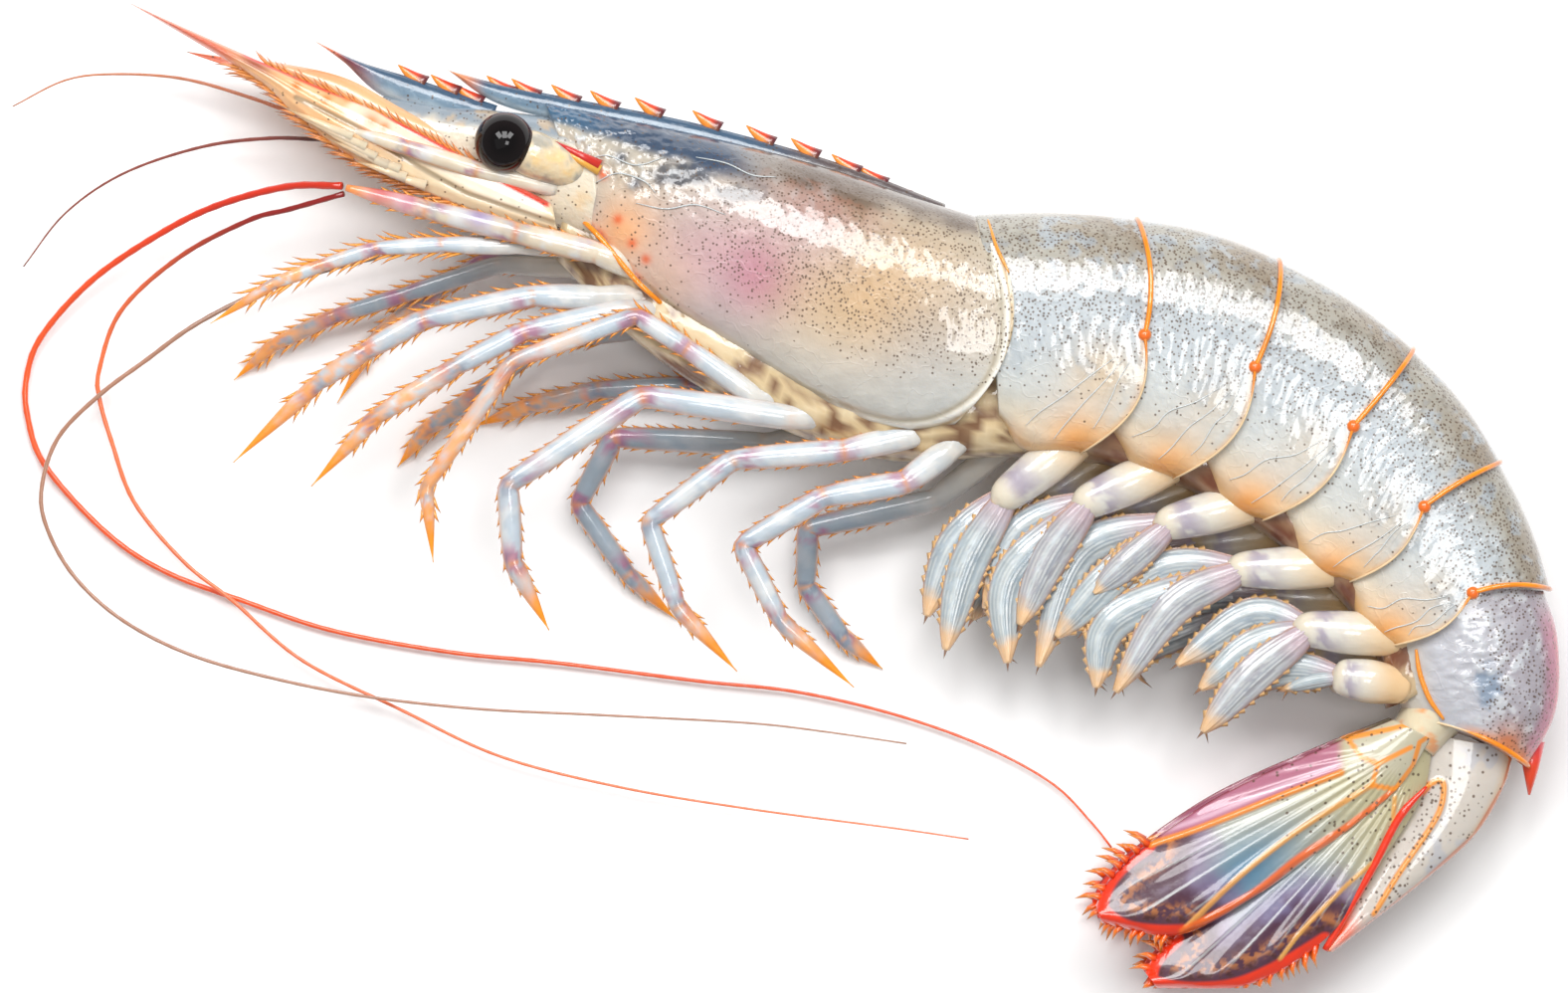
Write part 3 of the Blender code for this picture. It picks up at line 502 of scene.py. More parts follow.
def spread_rows(values, columns):
    """A grid that repeats one value along each of its rows."""
    return np.repeat(values[:, None], columns, axis=1)


def sideways(line):
    """Unit arrows in the side view, to the left of a line's run."""
    run = np.gradient(line, axis=0)
    run /= np.linalg.norm(run, axis=1)[:, None]
    return np.column_stack([-run[:, 1], run[:, 0], run[:, 2] * 0])


def path_lengths(line):
    """How far along a line each of its points lies."""
    return np.concatenate([[0], np.cumsum(np.linalg.norm(np.diff(line, axis=0), axis=1))])


def ball_grid(rows, sides):
    """The rings of a ball of radius 1, without its poles."""
    angles = math.pi * even(rows)[1:-1, None]
    turns = 2 * math.pi * np.arange(sides) / sides
    out, rise = np.sin(angles), np.cos(angles)
    return np.dstack(np.broadcast_arrays(out * np.cos(turns), out * np.sin(turns), rise))


class Paint:
    """Colours of a mesh's points, laid on in coats. The fourth value is how many specks show there."""

    def __init__(self, points, base):
        self.points = points
        self.u, self.v = pixels(points)
        self.colours = np.empty((*points.shape[:-1], 4))
        self.colours[..., :3] = rgb(*base)
        self.colours[..., 3] = 0

    def coat(self, colour, *factors):
        """One coat. Its strength is the factors' product. A factor in brackets is a step."""
        mask = 1
        for factor in factors:
            mask = mask * (step(*factor) if isinstance(factor, tuple) else factor)
        mask = np.clip(np.broadcast_to(mask, self.points.shape[:-1]), 0, 1)[..., None]
        self.colours[..., :3] = self.colours[..., :3] * (1 - mask) + rgb(*colour) * mask
        return self

    def coats(self, *rows):
        for row in rows:
            self.coat(*row)

    def line(self, colour, route, width, strength=0.9):
        """A line through picture pixels."""
        return self.coat(colour, strength, (line_distance(self.u, self.v, route), width, width * 0.45))

    def patch(self, colour, u, v, radius, strength, squash=1.0):
        """A soft round patch at a picture pixel."""
        away = ((self.u - u) ** 2 + ((self.v - v) * squash) ** 2) / radius**2
        return self.coat(colour, strength, np.exp(-away))

    def vary(self, size, depth):
        """Lightens and darkens in blots."""
        self.colours[..., :3] *= 1 + depth * mottle(self.points, size)[..., None]
        return self

    def specks(self, mask):
        self.colours[..., 3] = np.clip(mask, 0, 1)
        return self


def place(name, mesh, material, slot="raw_shell", nodes=("shrimp_body",)):
    """Puts a finished mesh into the scene, on the CAD body, inside the CAD box and standing for its nodes."""
    made = bpy.data.objects.new(name, mesh)
    bpy.context.scene.collection.objects.link(made)
    mesh.materials.append(material)
    mesh.shade_smooth()
    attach(made, "root")
    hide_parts(*nodes)


def mesh_of(name, points, faces, colours):
    """A mesh whose points carry a tint. Points are kept inside the solid's box."""
    low, high = np.array(CAD_LOW), np.array(CAD_HIGH)
    points = np.clip(np.asarray(points, float).reshape(-1, 3), low, high)
    mesh = bpy.data.meshes.new(name)
    mesh.from_pydata(points.tolist(), [], faces)
    tint = mesh.color_attributes.new("tint", "FLOAT_COLOR", "POINT")
    tint.data.foreach_set("color", np.clip(np.asarray(colours, float).reshape(-1, 4), 0, 1).ravel())
    mesh.update()
    return mesh


def loft_faces(rows, count):
    """Quads between rings of count points, with a fan on a middle point at each end."""
    faces = []
    for row in range(rows - 1):
        low, high = row * count, (row + 1) * count
        for i in range(count):
            j = (i + 1) % count
            faces.append((low + i, low + j, high + j, high + i))
    middle, last = rows * count, (rows - 1) * count
    faces += [((i + 1) % count, i, middle) for i in range(count)]
    faces += [(last + i, last + (i + 1) % count, middle + 1) for i in range(count)]
    return faces


def with_middles(grid):
    """The grid's points, then the middle of its first and last rings."""
    count = grid.shape[-1]
    return np.concatenate([grid.reshape(-1, count), grid[0].mean(0)[None], grid[-1].mean(0)[None]])


def outward(mesh):
    """Turns a closed mesh's faces outwards."""
    shape = bmesh.new()
    shape.from_mesh(mesh)
    bmesh.ops.recalc_face_normals(shape, faces=shape.faces)
    if shape.calc_volume(signed=True) < 0:
        bmesh.ops.reverse_faces(shape, faces=shape.faces)
    shape.to_mesh(mesh)
    shape.free()
    return mesh


def loft(name, grid, paint, material, **kwargs):
    mesh = mesh_of(name, with_middles(grid), loft_faces(*grid.shape[:2]), with_middles(paint.colours))
    place(name, outward(mesh), material, **kwargs)


class Heap:
    """Many small closed shapes gathered into one mesh."""

    def __init__(self):
        self.points, self.faces, self.colours, self.count = [], [], [], 0

    def add(self, points, faces, colours):
        self.points.append(np.asarray(points, float).reshape(-1, 3))
        self.colours.append(np.asarray(colours, float).reshape(-1, 4))
        self.faces += [tuple(i + self.count for i in face) for face in faces]
        self.count += len(self.points[-1])

    def cone(self, foot, tip, radius, foot_colour, tip_colour, bend=None, sides=5):
        """A thorn or bristle from foot to tip, bowed towards bend."""
        foot, tip = np.asarray(foot, float), np.asarray(tip, float)
        run = tip - foot
        length = max(np.linalg.norm(run), 1e-9)
        along = run / length
        guide = np.array((0, 0, 1.0)) if abs(along[2]) < 0.9 else np.array((1.0, 0, 0))
        across = np.cross(along, guide)
        across /= np.linalg.norm(across)
        up = np.cross(along, across)
        angles = 2 * math.pi * np.arange(sides) / sides
        circle = np.cos(angles)[:, None] * across + np.sin(angles)[:, None] * up
        middle = (foot + tip) / 2 + (0 if bend is None else np.asarray(bend, float))
        rings = (foot + circle * radius, middle + circle * radius * 0.55, tip[None], foot[None])
        faces = [(i, (i + 1) % sides, sides + (i + 1) % sides, sides + i) for i in range(sides)]
        faces += [(sides + i, sides + (i + 1) % sides, 2 * sides) for i in range(sides)]
        faces += [((i + 1) % sides, i, 2 * sides + 1) for i in range(sides)]
        shares = np.concatenate([np.zeros(sides), np.full(sides, 0.5), [1, 0]])[:, None]
        colours = rgb(*foot_colour) * (1 - shares) + rgb(*tip_colour) * shares
        self.add(np.concatenate(rings), faces, np.column_stack([colours, np.zeros(len(colours))]))

    def tube(self, grid, paint):
        """A closed tube or ball."""
        self.add(with_middles(grid), loft_faces(*grid.shape[:2]), with_middles(paint.colours))

    def place(self, name, material, **kwargs):
        mesh = mesh_of(name, np.concatenate(self.points), self.faces, np.concatenate(self.colours))
        place(name, mesh, material, **kwargs)


def section(back, side, belly, half_width, sides, top=TOP_SQUARENESS, under=TOP_SQUARENESS, lobe=(0, 0)):
    """One ring round the body, and how high each point lies between belly, 0, and back, 1."""
    angle = 2 * math.pi * np.arange(sides) / sides
    width_power = np.where(np.cos(angle) >= 0, top, under)
    across = np.sign(np.sin(angle)) * np.abs(np.sin(angle)) ** width_power
    along = np.sign(np.cos(angle)) * np.abs(np.cos(angle)) ** top
    h = ((1 + along) / 2)[:, None]
    flat = belly * (1 - h) * (1 - 2 * h) + side * 4 * h * (1 - h) + back * h * (2 * h - 1)
    flat = flat + np.array(lobe) * np.maximum(np.sin(2 * math.pi * h), 0)
    return np.column_stack([flat, MIDPLANE + half_width * across]), h[:, 0]


def shell_grid(rims, stations, sides, under=TOP_SQUARENESS):
    """The points of a loft through rims, and their heights between belly and back."""
    rows = [(*photo(*b), *photo(*s), *photo(*v), w * MM) for b, s, v, w in rims]
    made = [section(r[0:2], r[2:4], r[4:6], r[6], sides, under=under) for r in spline(rows, even(stations))]
    return np.array([ring for ring, _ in made]), np.array([h for _, h in made])


def ring_grid(number, stations, sides):
    """The points of one ring of the abdomen, as in the solid."""
    back, hinge, front, low, tip, front_width, rear_width = ABDOMEN[number]
    before = ABDOMEN[number - 1][:2] if number else (ABDOMEN_FRONT_BACK, ABDOMEN_FRONT_HINGE)
    before_back, before_hinge = before
    chord = np.subtract(back, before_back)
    out = np.array((chord[1], -chord[0])) / np.hypot(*chord)
    bellies = spline((front, low, tip), even(stations))
    grid, heights = [], []
    for share, belly in zip(even(stations), bellies, strict=True):
        top = towards(before_back, back, share - TUCK * (1 - share))
        top = tuple(np.add(top, out * BACK_BULGE[number] * math.sin(math.pi * min(share * 0.9, 1))))
        side = towards(before_hinge, hinge, share - TUCK * (1 - share))
        width = front_width + (rear_width - front_width) * math.sin(math.pi * share / 2)
        run = np.subtract(side, belly) / np.hypot(*np.subtract(side, belly))
        lobe = PLATE_LOBE * share * np.array((-run[1], -run[0])) * PIXEL
        places = (photo(*top), photo(*side), photo(*belly))
        ring, h = section(*places, width * MM, sides, RING_SQUARENESS, UNDER_SQUARENESS, lobe)
        grid.append(ring)
        heights.append(h)
    return np.array(grid), np.array(heights)


def tube_grid(route, radii, sides, flatness=1.0):
    """Rings round a route of 3-D points."""
    route = np.asarray(route, float)
    ahead = np.diff(route, axis=0, append=2 * route[-1:] - route[-2:-1])
    ahead /= np.maximum(np.linalg.norm(ahead, axis=1), 1e-9)[:, None]
    behind = np.concatenate([ahead[:1], ahead[:-1]])
    along = ahead + behind
    along /= np.linalg.norm(along, axis=1)[:, None]
    across = np.column_stack([-along[:, 1], along[:, 0], np.zeros(len(along))])
    across /= np.linalg.norm(across, axis=1)[:, None]
    up = np.cross(along, across)
    angles = 2 * math.pi * (np.arange(sides) + 0.5) / sides
    radii = np.asarray(radii)[:, None, None]
    wide, high = np.cos(angles)[None, :, None], flatness * np.sin(angles)[None, :, None]
    return route[:, None] + radii * (wide * across[:, None] + high * up[:, None])


def blade_grid(edges, root_height, tip_height, rows, columns):
    """Middle-surface points of a plate between two edges in the side view, with its two shares."""
    shares = even(rows)
    one, other = (spline([photo(*p) for p in edge], shares) for edge in edges)
    across = even(columns)[None, :, None]
    flat = one[:, None] * (1 - across) + other[:, None] * across
    height = spread_rows(root_height + (tip_height - root_height) * shares, columns)
    across = np.broadcast_to(across[..., 0], (rows, columns))
    return np.dstack([flat, height]), spread_rows(shares, columns), across


def add_blade(heap, middle, across, thickness, arch, tint, relief=0.0):
    """A closed arched plate over the middle surface. relief raises both faces by that much at each point."""
    rows, columns = middle.shape[:2]
    crown = 1 - (2 * across - 1) ** 2
    half = thickness / 2 * np.sqrt(np.clip(crown, 0, 1)) + relief
    rise = middle[..., 2] + arch * crown
    upper, lower = middle.copy(), middle.copy()
    upper[..., 2] = rise + half
    lower[..., 2] = rise - half
    points = np.concatenate([upper.reshape(-1, 3), lower.reshape(-1, 3)])
    under = rows * columns
    faces = []
    for row in range(rows - 1):
        for column in range(columns - 1):
            a = row * columns + column
            faces.append((a, a + 1, a + columns + 1, a + columns))
            faces.append((under + a + columns, under + a + columns + 1, under + a + 1, under + a))
        for a, turn in ((row * columns, 1), (row * columns + columns - 1, -1)):
            faces.append((a, a + columns, under + a + columns, under + a)[::turn])
    for row, turn in ((0, -1), (rows - 1, 1)):
        for column in range(columns - 1):
            a = row * columns + column
            faces.append((a, a + 1, under + a + 1, under + a)[::turn])
    heap.add(points, faces, np.concatenate([tint.reshape(-1, 4)] * 2))


def node_material(name):
    """A material with its surface shader, and functions that fill a node's inputs and add a node.

    Feeds go to the inputs in order, capitalised names to the inputs so named. Other names are settings, and a
    socket is linked.
    """
    made = bpy.data.materials.new(name)
    made.use_nodes = True
    nodes, links = made.node_tree.nodes, made.node_tree.links

    def fill(node, *feeds, **values):
        named = {key.replace("_", " "): value for key, value in values.items() if key[0].isupper()}
        for key, value in [*enumerate(feeds), *named.items()]:
            if isinstance(value, bpy.types.NodeSocket):
                links.new(value, node.inputs[key])
            else:
                node.inputs[key].default_value = value
        return node

    def add(kind, *feeds, **values):
        node = nodes.new("ShaderNode" + kind)
        for key, value in values.items():
            if not key[0].isupper():
                setattr(node, key, value)
        return fill(node, *feeds, **values)

    return made, nodes["Principled BSDF"], fill, add


def ramp(node, stops):
    """Sets a colour ramp's stops from (place, grey)."""
    elements = node.color_ramp.elements
    while len(elements) > len(stops):
        elements.remove(elements[-1])
    while len(elements) < len(stops):
        elements.new(0.5)
    for element, (spot, grey) in zip(elements, stops, strict=True):
        element.position = spot
        element.color = (grey, grey, grey, 1)


def flank_heights(grid, places):
    """How high the near flank of a shell lies at picture pixels."""
    u, v = pixels(grid)
    upper = grid[..., 2] >= MIDPLANE
    u, v, z = u[upper], v[upper], grid[..., 2][upper]
    found = []
    for a, b in places:
        nearest = np.argpartition((u - a) ** 2 + (v - b) ** 2, 6)[:6]
        found.append(z[nearest].max() + 0.05 * MM)
    found = np.array(found)
    return np.convolve(np.pad(found, 2, mode="edge"), np.full(5, 0.2), mode="valid")


def add_cord(heap, grid, route, radius, colour, lift=0.0):
    """A raised line on a shell's near flank, thin at both ends."""
    places = smooth_route(route, 10)
    line = np.column_stack([[photo(*place) for place in places], flank_heights(grid, places) + lift * MM])
    shares = even(len(line))
    radii = radius * MM * (0.25 + 0.75 * np.sin(math.pi * np.clip(shares, 0.02, 0.98)) ** 0.4)
    tube = tube_grid(line, radii, CORD_SIDES)
    heap.tube(tube, Paint(tube, colour))


def shell_material(name, roughness=0.3, glow=0.2, speck_size=0.3 * MM, ripple=0.5, vein=0.0):
    """Wet chitin: a painted tint, brown specks where the paint asks, ripples and veins in relief."""
    made, surface, fill, add = node_material(name)
    tint = add("VertexColor", layer_name="tint").outputs
    spot = add("TexCoord").outputs["Object"]
    cells = add("TexVoronoi", spot, Scale=1 / speck_size, Randomness=1.0).outputs
    dot = add("ValToRGB", cells["Distance"])
    ramp(dot, ((0.24, 1), (0.42, 0)))
    pick = add("SeparateColor", cells["Color"])
    chosen = add("Math", pick.outputs["Red"], tint["Alpha"], operation="LESS_THAN")
    shown = add("Math", dot.outputs["Color"], chosen.outputs[0], operation="MULTIPLY")
    strength = add("Math", shown.outputs[0], SPECK_STRENGTH, operation="MULTIPLY")
    speckled = add("MixRGB", strength.outputs[0], tint["Color"], (*rgb(*SPECK_BROWN), 1), blend_type="MIX")
    ripples = add("TexNoise", spot, Scale=950, Detail=3, Roughness=0.5)
    relief = add("Bump", Strength=ripple, Distance=0.25 * MM, Height=ripples.outputs["Fac"])
    if vein:
        warp = add("TexNoise", spot, Scale=300, Detail=2)
        bent = add("MixRGB", 0.0035, spot, warp.outputs["Color"], blend_type="LINEAR_LIGHT")
        lines = add("TexVoronoi", bent.outputs[0], feature="DISTANCE_TO_EDGE", Scale=260, Randomness=1.0)
        thin = add("ValToRGB", lines.outputs["Distance"])
        ramp(thin, ((0.0, 1), (0.03, 0)))
        rippled = relief.outputs[0]
        relief = add("Bump", Strength=vein, Distance=0.12 * MM, Height=thin.outputs["Color"], Normal=rippled)
    fill(
        surface, Base_Color=speckled.outputs[0], Normal=relief.outputs[0], Roughness=roughness, IOR=1.45,
        Subsurface_Weight=glow, Subsurface_Radius=(1.0, 0.75, 0.55), Subsurface_Scale=1.2 * MM,
        Coat_Weight=0.9, Coat_Roughness=0.05,
    )
    return made


def eye_material():
    made, surface, fill, add = node_material("eye_dark")
    tint = add("VertexColor", layer_name="tint")
    grain = add("TexVoronoi", add("TexCoord").outputs["Object"], Scale=9000)
    relief = add("Bump", Strength=0.02, Distance=0.02 * MM, Height=grain.outputs["Distance"])
    fill(surface, Base_Color=tint.outputs["Color"], Normal=relief.outputs[0], Roughness=0.03, IOR=1.38)
    return made


SPECK_BROWN = (84, 62, 42)
SPECK_STRENGTH = 0.85
SHELL = shell_material("wet_shell", vein=0.25)
HEAD = shell_material("wet_head", roughness=0.25, ripple=0.8)
LIMB = shell_material("wet_limb", roughness=0.28, glow=0.25, ripple=0.3)
FAN = shell_material("wet_fan", roughness=0.28, ripple=0.3, speck_size=0.4 * MM)
TRIM = shell_material("wet_trim", roughness=0.3, glow=0.1, ripple=0.15)
EYE = eye_material()
NAVY = (48, 76, 104)
ORANGE = (240, 140, 40)


def carapace():
    grid, h = shell_grid(CARAPACE_RIMS, *CARAPACE_MESH, UNDER_SQUARENESS)
    paint = Paint(grid, (190, 180, 164))
    u, v = paint.u, paint.v
    margin = line_distance(u, v, smooth_route(CARAPACE_MARGIN))
    wave = mottle(grid, 4 * MM)
    fine = mottle(grid, 0.9 * MM)
    blue, grey = (np.hypot((u - a) / wide, (v - b) / high) for a, b, wide, high in CARAPACE_SMUDGES)
    paint.coats(
        ((202, 202, 196), (h, 0.45, 0.15)),
        ((176, 168, 154), 0.7, (h, 0.56, 0.8)),
    )
    for patch in CARAPACE_PATCHES:
        paint.patch(*patch)
    paint.coats(
        ((150, 130, 104), 0.6, (wave + 0.6 * fine, 0.25, 0.7), (h, 0.6, 0.8), (u, *OLIVE_COLUMNS)),
        ((40, 50, 66), 0.85, (blue + 0.35 * fine, 1.2, 0.6)),
        ((84, 92, 100), 0.7, (grey + 0.5 * fine, 1.2, 0.5)),
        ((206, 212, 214), 0.7, (fine + wave, 0.1, 0.4), (u, *PALE_COLUMNS), (h, 0.45, 0.6)),
        ((34, 62, 92), 0.95, (h + 0.05 * wave, 0.75, 0.85), (u, *NAVY_COLUMNS)),
        ((60, 104, 136), 0.7, (h + 0.1 * wave, 0.72, 0.8), (u, *BLUE_COLUMNS)),
        ((84, 66, 52), 0.85, (h + 0.06 * wave, 0.84, 0.95), (u, *BROWN_COLUMNS)),
        ((150, 92, 60), 0.5, (np.abs(h - 0.8) + 0.1 * fine, 0.1, 0.02), bump(u, *RUST_BAND)),
        ((222, 214, 196), 0.8, (margin, 17, 10)),
        ((158, 146, 124), 0.7, bump(margin, 11, 2.5)),
        ((242, 238, 228), 0.8, bump(margin, 5, 2.5)),
        ((196, 160, 104), 0.7, (margin, 2.5, 0.5), (u, *MARGIN_COLUMNS)),
    )
    for dot in CARAPACE_ORANGE_DOTS:
        paint.patch((222, 92, 30), *dot, 5, 0.9)
    for dot in CARAPACE_BLUE_DOTS:
        paint.patch((40, 60, 84), *dot, 7, 0.8)
    paint.vary(6 * MM, 0.06).vary(1.5 * MM, 0.05)
    paint.specks(0.8 * step(h, 0.16, 0.42) * step(u, *SPECK_COLUMNS) + 0.15 * step(u, *SPECK_COLUMNS[::-1]))
    raise_flanks(grid, 0.22 * MM * bump(margin, 4, 4) - 0.06 * MM * bump(margin, 11, 3))
    raise_flanks(grid, 0.26 * MM * fine * step(u, *ROUGH_COLUMNS) * step(h, 0.42, 0.58))
    raise_flanks(grid, 0.05 * MM * fine * step(h, 0.3, 0.6))
    loft("carapace", grid, paint, SHELL)
    seams = Heap()
    add_cord(seams, grid, CARAPACE_FRONT, 0.26, (246, 142, 20), 0.5)
    add_cord(seams, grid, CARAPACE_SEAM, 0.16, (240, 150, 50))
    for route in CARAPACE_WRINKLES:
        add_cord(seams, grid, route, 0.06, (196, 202, 202))
    seams.place("carapace_seams", SHELL)


def ring_paint(number, grid, h, share):
    """Blue-grey glass over cream flesh: olive over the back, golden at the side plate's margin."""
    front, low, tip = ABDOMEN[number][2:5]
    paint = Paint(grid, (182, 189, 193))
    wave = mottle(grid, 3.5 * MM)
    fine = mottle(grid, 1.0 * MM)
    paint.coats(
        ((198, 200, 196), (h, 0.5, 0.2)),
        ((214, 204, 180), 0.8, (h + 0.03 * wave, 0.24, 0.04)),
        ((158, 148, 128), 0.7, (h + 0.1 * wave, 0.6, 0.82)),
        ((122, 98, 66), 0.7, (h + 0.12 * wave, 0.74, 0.96), (share, 0.15, 0.95)),
        ((196, 202, 206), 0.5, (fine + wave, 0.15, 0.5), (h, 0.45, 0.7)),
        ((104, 92, 76), 0.45, (fine, 0.15, 0.45), (h, 0.55, 0.8)),
        ((222, 166, 92), 0.8, (h, 0.15, 0.01), (share, 0.5, 0.9)),
        ((206, 172, 122), 0.6, bump(h, 0.34, 0.12), bump(share, 0.72, 0.22), 1 if number == 0 else 0.5),
        ((222, 166, 98), 0.5, (share, 0.93, 1.0), (h, 0.85, 0.6)),
        ((150, 162, 172), 0.45, (wave + fine * 0.5, 0.15, 0.6), (h, 0.2, 0.35)),
        ((236, 230, 214), 0.7, bump(h, 0.075, 0.03)),
        ((206, 158, 92), 0.8, bump(h, 0.02, 0.02)),
    )
    paint.patch((240, 176, 100), *PLATE_TIPS[number], 40, 0.6)
    paint.patch((244, 144, 20), *PLATE_TIPS[number], 18, 0.95)
    paint.patch((236, 180, 112), *tip, 32, 0.6)
    paint.patch((230, 176, 110), *towards(front, low, 0.5), 20, 0.5)
    paint.vary(5 * MM, 0.07).vary(1.5 * MM, 0.05)
    return paint.specks(0.85 * step(h, 0.3, 0.6) + 0.15 * step(h, 0.12, 0.3))


def plate_seams(heap, number, grid):
    """Pale, wavy veins from the hinge over the side plate."""
    hinge, front, low, tip = ABDOMEN[number][1:5]
    rng = np.random.default_rng(SEED + 10 + number)
    for end in (towards(front, low, 0.5), towards(low, tip, 0.35), towards(tip, hinge, 0.12)):
        start = towards(hinge, end, 0.22)
        wavy = [np.add(towards(start, end, s), rng.uniform(-4, 4, 2)) for s in (0.25, 0.5, 0.7)]
        route = (start, *map(tuple, wavy), towards(start, end, 0.86))
        add_cord(heap, grid, route, 0.055, (212, 216, 214))


def rings():
    seams = Heap()
    for number in range(len(ABDOMEN)):
        grid, h = ring_grid(number, *RING_MESH)
        share = spread_rows(even(RING_MESH[0]), RING_MESH[1])
        paint = ring_paint(number, grid, h, share)
        raise_flanks(grid, 0.1 * MM * bump(h, 0.075, 0.04))
        raise_flanks(grid, 0.045 * MM * mottle(grid, 0.8 * MM) * step(h, 0.2, 0.45))
        loft(f"ring_{number + 1}", grid, paint, SHELL)
        rim_line(f"rim_{number + 1}", grid[-1], h[-1])
        plate_seams(seams, number, grid)
    seams.place("plate_seams", SHELL)


def rim_line(name, ring, h):
    """The orange cord along a ring's rear edge, brown over the back."""
    middle = ring.mean(0)
    loop = middle + (ring - middle) * 1.004
    count = len(loop)
    ahead = np.roll(loop, -1, axis=0) - np.roll(loop, 1, axis=0)
    ahead /= np.linalg.norm(ahead, axis=1)[:, None]
    out = loop - middle
    out -= (out * ahead).sum(1)[:, None] * ahead
    out /= np.linalg.norm(out, axis=1)[:, None]
    side = np.cross(ahead, out)
    angles = 2 * math.pi * np.arange(CORD_SIDES) / CORD_SIDES
    radius = MM * (0.1 + 0.13 * step(h, 0.42, 0.56))[:, None, None]
    wide, high = np.cos(angles)[None, :, None], np.sin(angles)[None, :, None]
    grid = loop[:, None] + radius * (wide * out[:, None] + high * side[:, None])
    heights = spread_rows(h, CORD_SIDES)
    paint = Paint(grid, (246, 138, 10))
    paint.coats(
        ((206, 112, 30), 0.7, (heights, 0.9, 0.97)),
        ((226, 206, 166), 0.85, (heights, 0.46, 0.36)),
    )
    paint.vary(2 * MM, 0.2)
    faces = []
    for row in range(count):
        low, high = row * CORD_SIDES, (row + 1) % count * CORD_SIDES
        for i in range(CORD_SIDES):
            j = (i + 1) % CORD_SIDES
            faces.append((low + i, low + j, high + j, high + i))
    place(name, outward(mesh_of(name, grid, faces, paint.colours)), TRIM)


def tail_ring():
    grid, h = shell_grid(TAIL_RIMS, *TAIL_MESH)
    share = spread_rows(even(TAIL_MESH[0]), TAIL_MESH[1])
    wave = mottle(grid, 3 * MM)
    fine = mottle(grid, 0.9 * MM)
    streak_u, streak_v = TAIL_STREAK
    paint = Paint(grid, (188, 188, 194))
    paint.coats(
        ((156, 148, 156), 0.8, (h + 0.1 * wave, 0.5, 0.8)),
        ((206, 210, 214), 0.7, (fine + 0.5 * wave, 0.1, 0.4), (h, 0.2, 0.4)),
    )
    streak = step(np.hypot((paint.u - streak_u) / 16, (paint.v - streak_v) / 26) + fine * 0.4, 1.1, 0.4)
    paint.coats(
        ((104, 130, 156), 0.7, streak),
        ((184, 84, 118), 0.8, (h, 0.84, 0.96), (share, 0.05, 0.35)),
        ((196, 34, 74), 0.95, (h, 0.95, 0.985), (share, 0.1, 0.4)),
        ((222, 212, 190), 0.7, (h, 0.25, 0.05)),
        ((226, 140, 60), 0.7, (share, 0.9, 1.0), (h, 0.3, 0.5)),
    )
    paint.patch(*TAIL_SPOT)
    paint.vary(4 * MM, 0.07).vary(1.2 * MM, 0.06)
    paint.specks(0.8 * step(h, 0.42, 0.6))
    raise_flanks(grid, 0.16 * MM * fine * bump(share, 0.5, 0.35) * step(h, 0.1, 0.3) * step(h, 0.8, 0.65))
    loft("tail_ring", grid, paint, SHELL)
    rim_line("tail_rim", grid[-1], h[-1])
    seams = Heap()
    add_cord(seams, grid, TAIL_FRONT_EDGE, 0.24, (244, 146, 40))
    seams.place("tail_seams", SHELL)
    spine = [(*photo(*p), MIDPLANE) for p in (TAIL_SPINE[0], towards(*TAIL_SPINE, 0.5), TAIL_SPINE[1])]
    grid = tube_grid(spine, (1.1 * MM, 0.7 * MM, 0.1 * MM), 16)
    paint = Paint(grid, (232, 70, 28))
    paint.coat((200, 46, 84), 0.7, (paint.v, *TAIL_SPINE_ROWS))
    loft("tail_spine", grid, paint, TRIM)


def cores():
    """The flesh between the shell and the limbs, and the base of the head."""
    grid, _ = shell_grid(BELLY_RIMS, *BELLY_MESH)
    crease = mottle(grid, 1.6 * MM, 4)
    grid = grid.copy()
    grid[..., 2] += 0.25 * MM * crease * np.sign(grid[..., 2] - MIDPLANE)
    paint = Paint(grid, (206, 182, 140))
    # Painted shade: dark red-brown in the hollows of the creases; cream on the raised lumps
    paint.coats(
        ((104, 56, 28), 0.85, (crease, 0.1, -0.35)),
        ((232, 214, 180), 0.5, (crease, 0.1, 0.5)),
        # Painted shade: dark red-brown over the belly between the swimmeret stems
        ((116, 56, 30), 0.75, *((paint.u, *columns) for columns in BELLY_SHADE_COLUMNS)),
    )
    loft("belly", grid, paint, LIMB)
    grid, h = shell_grid(HEAD_RIMS, *HEAD_MESH)
    paint = Paint(grid, (224, 212, 190))
    wave = mottle(grid, 2.2 * MM)
    paint.coats(
        ((120, 140, 158), 0.85, (h + 0.1 * wave, 0.62, 0.85)),
        ((236, 190, 120), 0.4, (wave, 0.2, 0.5)),
    )
    paint.specks(0.2)
    loft("head", grid, paint, HEAD)


